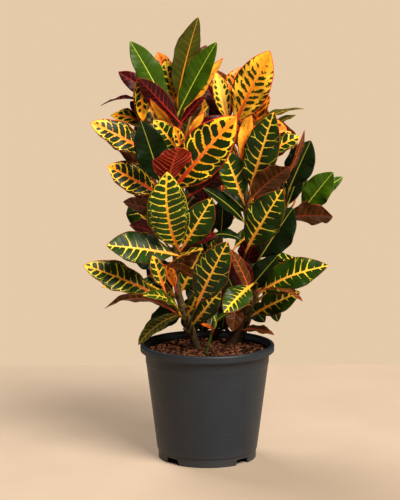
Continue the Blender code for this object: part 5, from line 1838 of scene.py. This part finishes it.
@dataclass
class PottingBark:
    """The bark in the pot: one lumpy body with chips of bark standing in its top."""

    top_z: float = 168.0
    mound: float = 3.0
    relief: float = 1.8
    edge_drop: float = 4.0
    radius: float = 94.5
    side: tuple[float, float] = (92.4, 149.0)
    foot_radii: tuple[float, float] = (76.0, 72.0)
    foot_bevel: float = 3.0
    rings: int = 46
    sides: int = 160
    # near-black tone of the body that shows between the chips: painted shade in the gaps
    gap_shade_tone: float = 0.06
    chips: int = 1500
    chip_sides: int = 6
    chip_length: tuple[float, float] = (4.0, 13.0)
    chip_width: tuple[float, float] = (0.35, 0.75)
    chip_thick: tuple[float, float] = (0.8, 2.4)
    chip_tilt: float = 0.30
    seed: int = 21
    look: ChippedBark = ChippedBark()

    def height(self, x: Array, y: Array) -> Array:
        """The top of the bark: a low mound with lumps from crossed waves.

        Args:
            x: Places to the right of the axis.
            y: Places behind the axis.

        Returns:
            Heights above the ground.
        """
        lumps = np.sin(x * 0.31 + 1.3) * np.sin(y * 0.27 + 0.4)
        lumps = lumps + 0.8 * np.sin(x * 0.53 - y * 0.41 + 2.1) * np.sin(y * 0.62 + x * 0.22)
        return self.top_z + self.mound * (1 - np.hypot(x, y) ** 2 / self.radius**2) + self.relief * lumps

    def body(self) -> Surface:
        """The closed body: the lumpy top, then the side down along the pot's wall.

        Returns:
            The surface, in metres.
        """
        low, _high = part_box("soil")
        foot = (low.z - pot_axis()[2]) / MM
        turn = circle(self.sides)
        r = self.radius * np.linspace(0.03, 0.985, self.rings)[:, None]
        x, y = r * np.cos(turn), r * np.sin(turn)
        fine = 0.7 * np.sin(x * 1.7 + 2 * np.sin(y * 0.9)) * np.sin(y * 1.5 + 1.5 * np.sin(x * 1.1))
        top = np.stack([x, y, self.height(x, y) + fine - 1.0], -1)
        low_edge, bottom = self.foot_radii
        edges = [(self.radius, self.top_z - self.edge_drop), self.side]
        edges += [(low_edge, foot + self.foot_bevel), (bottom, foot)]
        r, z = np.hsplit(np.array(edges), 2)
        side = np.stack([r * np.cos(turn), r * np.sin(turn), z + 0 * turn], -1)
        poles = (np.array([0, 0, top[0, :, 2].mean()]), np.array([0, 0, foot]))
        made = tube_surface(np.concatenate([top, side]), poles)
        # the body's near-black tone paints shade into the gaps between the chips
        made.on_points = {"tone": np.full(len(made.points), self.gap_shade_tone)}
        return made

    def turns(self, draw: np.random.Generator) -> Array:
        """How each chip lies: rolled, then pitched, then turned about the upright.

        Args:
            draw: The draws for the angles.

        Returns:
            A 3 x 3 matrix for each chip.
        """
        n = self.chips
        yaw = draw.uniform(0, 2 * math.pi, n)
        pitch, roll = draw.normal(0, self.chip_tilt, n), draw.normal(0, self.chip_tilt, n)
        c, s = np.cos, np.sin
        zero, one = np.zeros(n), np.ones(n)
        rows = (
            (c(yaw), -s(yaw), zero, s(yaw), c(yaw), zero, zero, zero, one),
            (c(pitch), zero, s(pitch), zero, one, zero, -s(pitch), zero, c(pitch)),
            (one, zero, zero, zero, c(roll), -s(roll), zero, s(roll), c(roll)),
        )
        about_z, about_y, about_x = (np.stack(row, -1).reshape(n, 3, 3) for row in rows)
        return np.einsum("nij,njk,nkl->nil", about_z, about_y, about_x)

    def chip_faces(self) -> Array:
        """A chip's faces: six sides, and two quads for each of its lower and upper faces.

        Returns:
            Point numbers, four for each face.
        """
        n = self.chip_sides
        k = np.arange(n)
        m = (k + 1) % n
        lower, upper = [[5, 4, 1, 0], [4, 3, 2, 1]], [[6, 7, 10, 11], [7, 8, 9, 10]]
        return np.concatenate([np.stack([k, m, m + n, k + n], -1), lower, upper])

    def chip_surface(self) -> Surface:
        """All the chips at once: each is a bent, lopsided slab of 12 points lying at its own tilt.

        A chip's points are a six-sided outline, shrunk and lifted for its upper face; its length, width,
        tilt and turn are drawn.

        Returns:
            One surface that holds every chip, in metres.
        """
        draw = np.random.default_rng(self.seed)
        n, corners = self.chips, self.chip_sides
        r = (self.radius - 3.5) * np.sqrt(draw.uniform(0.0, 1.0, n))
        a = draw.uniform(0, 2 * math.pi, n)
        x, y = r * np.cos(a), r * np.sin(a)
        length = (draw.uniform(*self.chip_length, n) * draw.uniform(0.5, 1.0, n))[:, None]
        width = length * draw.uniform(*self.chip_width, n)[:, None]
        thick = draw.uniform(*self.chip_thick, n)[:, None, None]
        places = np.arange(corners)[None] + 0.5 + draw.uniform(-0.22, 0.22, (n, corners))
        turn = 2 * math.pi * places / corners
        reach = draw.uniform(0.75, 1.15, (n, corners))
        flat = np.stack([0.5 * length * np.cos(turn) * reach, 0.5 * width * np.sin(turn) * reach], -1)
        bend = (draw.uniform(-0.05, 0.05, n)[:, None] * flat[:, :, 0] ** 2 / 3.0)[:, :, None]
        lower = np.concatenate([flat, bend - 0.5 * thick], -1)
        rise = bend + draw.uniform(0.35, 0.65, (n, corners, 1)) * thick
        upper = np.concatenate([flat * 0.82, rise], -1)
        local = np.concatenate([lower, upper], axis=1)
        placed = np.einsum("nil,npl->npi", self.turns(draw), local)
        base = np.stack([x, y, self.height(x, y) - 0.4 + draw.uniform(-0.6, 1.6, n)], -1)
        points = placed + base[:, None]
        far = np.hypot(points[:, :, 0], points[:, :, 1])
        points[:, :, :2] *= np.minimum(1.0, (self.radius + 0.4) / far)[:, :, None]
        quads = self.chip_faces()[None] + 2 * corners * np.arange(n)[:, None, None]
        made = Surface(world(points.reshape(-1, 3)), quads.reshape(-1, 4), np.empty((0, 3), int))
        made.on_points = {"tone": np.repeat(draw.uniform(0.0, 1.0, n), 2 * corners)}
        return made

    def build(self) -> None:
        """Builds the body and its chips as one piece."""
        bark = make_piece("bark", [self.body(), self.chip_surface()], [self.look.make()])
        bark.data.set_sharp_from_angle(angle=math.radians(38.0))
        settle(bark, "bark", "soil")


# ---- studio ----
@dataclass(frozen=True)
class Lamp:
    """A square soft light: where it hangs from the pot's axis, its side, power and tint."""

    name: str
    place: Triple
    size: float
    power: float
    tint: Triple


@dataclass
class Studio:
    """A plain pale floor, warm even surroundings, soft lights and the camera."""

    camera_back: float = 2.70
    camera_height: float = 0.744
    aim_height: float = 0.328
    side: float = -0.0114
    lens: float = 126.6
    sensor: float = 36.0
    farthest: float = 20.0
    floor_width: float = 6.0
    floor_depth: float = 1.32
    floor_front: float = 2.4
    floor_thick: float = 0.02
    wall_tone: Triple = srgb(229, 202, 169)
    floor_tone: Triple = srgb(171, 154, 137)
    floor_shade: float = 0.93
    ambient: float = 0.07
    lit_height: float = 0.36
    lamps: tuple[Lamp, ...] = (
        Lamp("key", (1.75, -2.5, 3.5), 2.5, 440.0, (1.0, 0.91, 0.79)),
        Lamp("back", (-1.5, 2.0, 2.7), 2.2, 185.0, (1.0, 0.94, 0.86)),
    )

    def pale(self) -> Material:
        """The floor's finish: nearly even, with soft clouds and a fine grain.

        Returns:
            The material.
        """
        s = Shading("pale_floor")
        place = s.place()
        speck = s.noise(place, 420.0)
        tone = s.noise(place, 5.0, 4.0, 0.55) * 0.8 + speck * 0.2
        shade = tuple(self.floor_shade * c for c in self.floor_tone)
        s.bump(speck, 0.15, 0.0005)
        return s.finish(s.blend(s.step(tone, 0.3, 0.7), shade, self.floor_tone), 0.62)

    def floor(self) -> None:
        """Lays a wide pale slab whose far edge meets the warm surroundings behind the plant."""
        x, y = 0.5 * self.floor_width, 0.5 * self.floor_depth
        front = -y - self.floor_front
        points = np.array([(-x, front, 0), (x, front, 0), (x, y, 0), (-x, y, 0)]) + pot_axis()
        made = Surface(
            np.vstack([points - (0, 0, self.floor_thick), points]),
            np.array([[3, 2, 1, 0], [4, 5, 6, 7], [0, 1, 5, 4], [1, 2, 6, 5], [2, 3, 7, 6], [3, 0, 4, 7]]),
            np.empty((0, 3), int),
        )
        floor = make_piece("floor", [made], [self.pale()])
        floor.data.shade_flat()

    def surroundings(self) -> None:
        """Sets the even warm tone that the plant stands before, dimmed where it only lights the plant."""
        studio = bpy.data.worlds.new("studio")
        studio.use_nodes = True
        nodes, links = studio.node_tree.nodes, studio.node_tree.links
        back = nodes["Background"]
        back.inputs["Color"].default_value = (*self.wall_tone, 1.0)
        seen = nodes.new("ShaderNodeLightPath")
        dim = nodes.new("ShaderNodeMapRange")
        dim.inputs["To Min"].default_value = self.ambient
        links.new(seen.outputs["Is Camera Ray"], dim.inputs["Value"])
        links.new(dim.outputs["Result"], back.inputs["Strength"])
        bpy.context.scene.world = studio
        bpy.context.scene.view_settings.view_transform = "Standard"

    def hang(self, lamp: Lamp) -> None:
        """Hangs one light that looks at the middle of the plant; only the key light glints.

        Args:
            lamp: The light to hang.
        """
        light = bpy.data.lights.new(lamp.name, "AREA")
        light.shape = "SQUARE"
        light.size = lamp.size
        light.energy = lamp.power
        light.color = lamp.tint
        stand = bpy.data.objects.new(lamp.name, light)
        stand.visible_glossy = lamp.name == "key"
        bpy.context.scene.collection.objects.link(stand)
        axis = Vector(pot_axis())
        stand.matrix_world = looking(axis + Vector(lamp.place), axis + Vector((0, 0, self.lit_height)))

    def camera(self) -> None:
        """Places the camera, level with the upper leaves and looking slightly down."""
        lens = bpy.data.cameras.new("camera")
        lens.lens = self.lens
        lens.sensor_width = self.sensor
        lens.sensor_fit = "AUTO"
        lens.clip_end = self.farthest
        camera = bpy.data.objects.new("camera", lens)
        bpy.context.scene.collection.objects.link(camera)
        axis = Vector(pot_axis())
        place = axis + Vector((self.side, -self.camera_back, self.camera_height))
        camera.matrix_world = looking(place, axis + Vector((self.side, 0.0, self.aim_height)))
        bpy.context.scene.camera = camera

    def build(self) -> None:
        """Sets up the camera, the surroundings, the lights and the floor."""
        self.camera()
        self.surroundings()
        for lamp in self.lamps:
            self.hang(lamp)
        self.floor()


# ---- the whole plant ----
def stem_paths() -> Arrays:
    """Returns each stem's path, as a smooth line through its given points."""
    return {name: smooth_path(points) for name, (_low, _high, *points) in STEMS.items()}


def main() -> None:
    """Builds the studio and every sub-assembly in order."""
    logging.basicConfig(level=logging.INFO, format="%(message)s")
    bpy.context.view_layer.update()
    Studio().build()
    NurseryPot().build()
    PottingBark().build()
    paths = stem_paths()
    WoodyStems(paths).build()
    Foliage(paths).build()


if __name__ == "__main__":
    main()
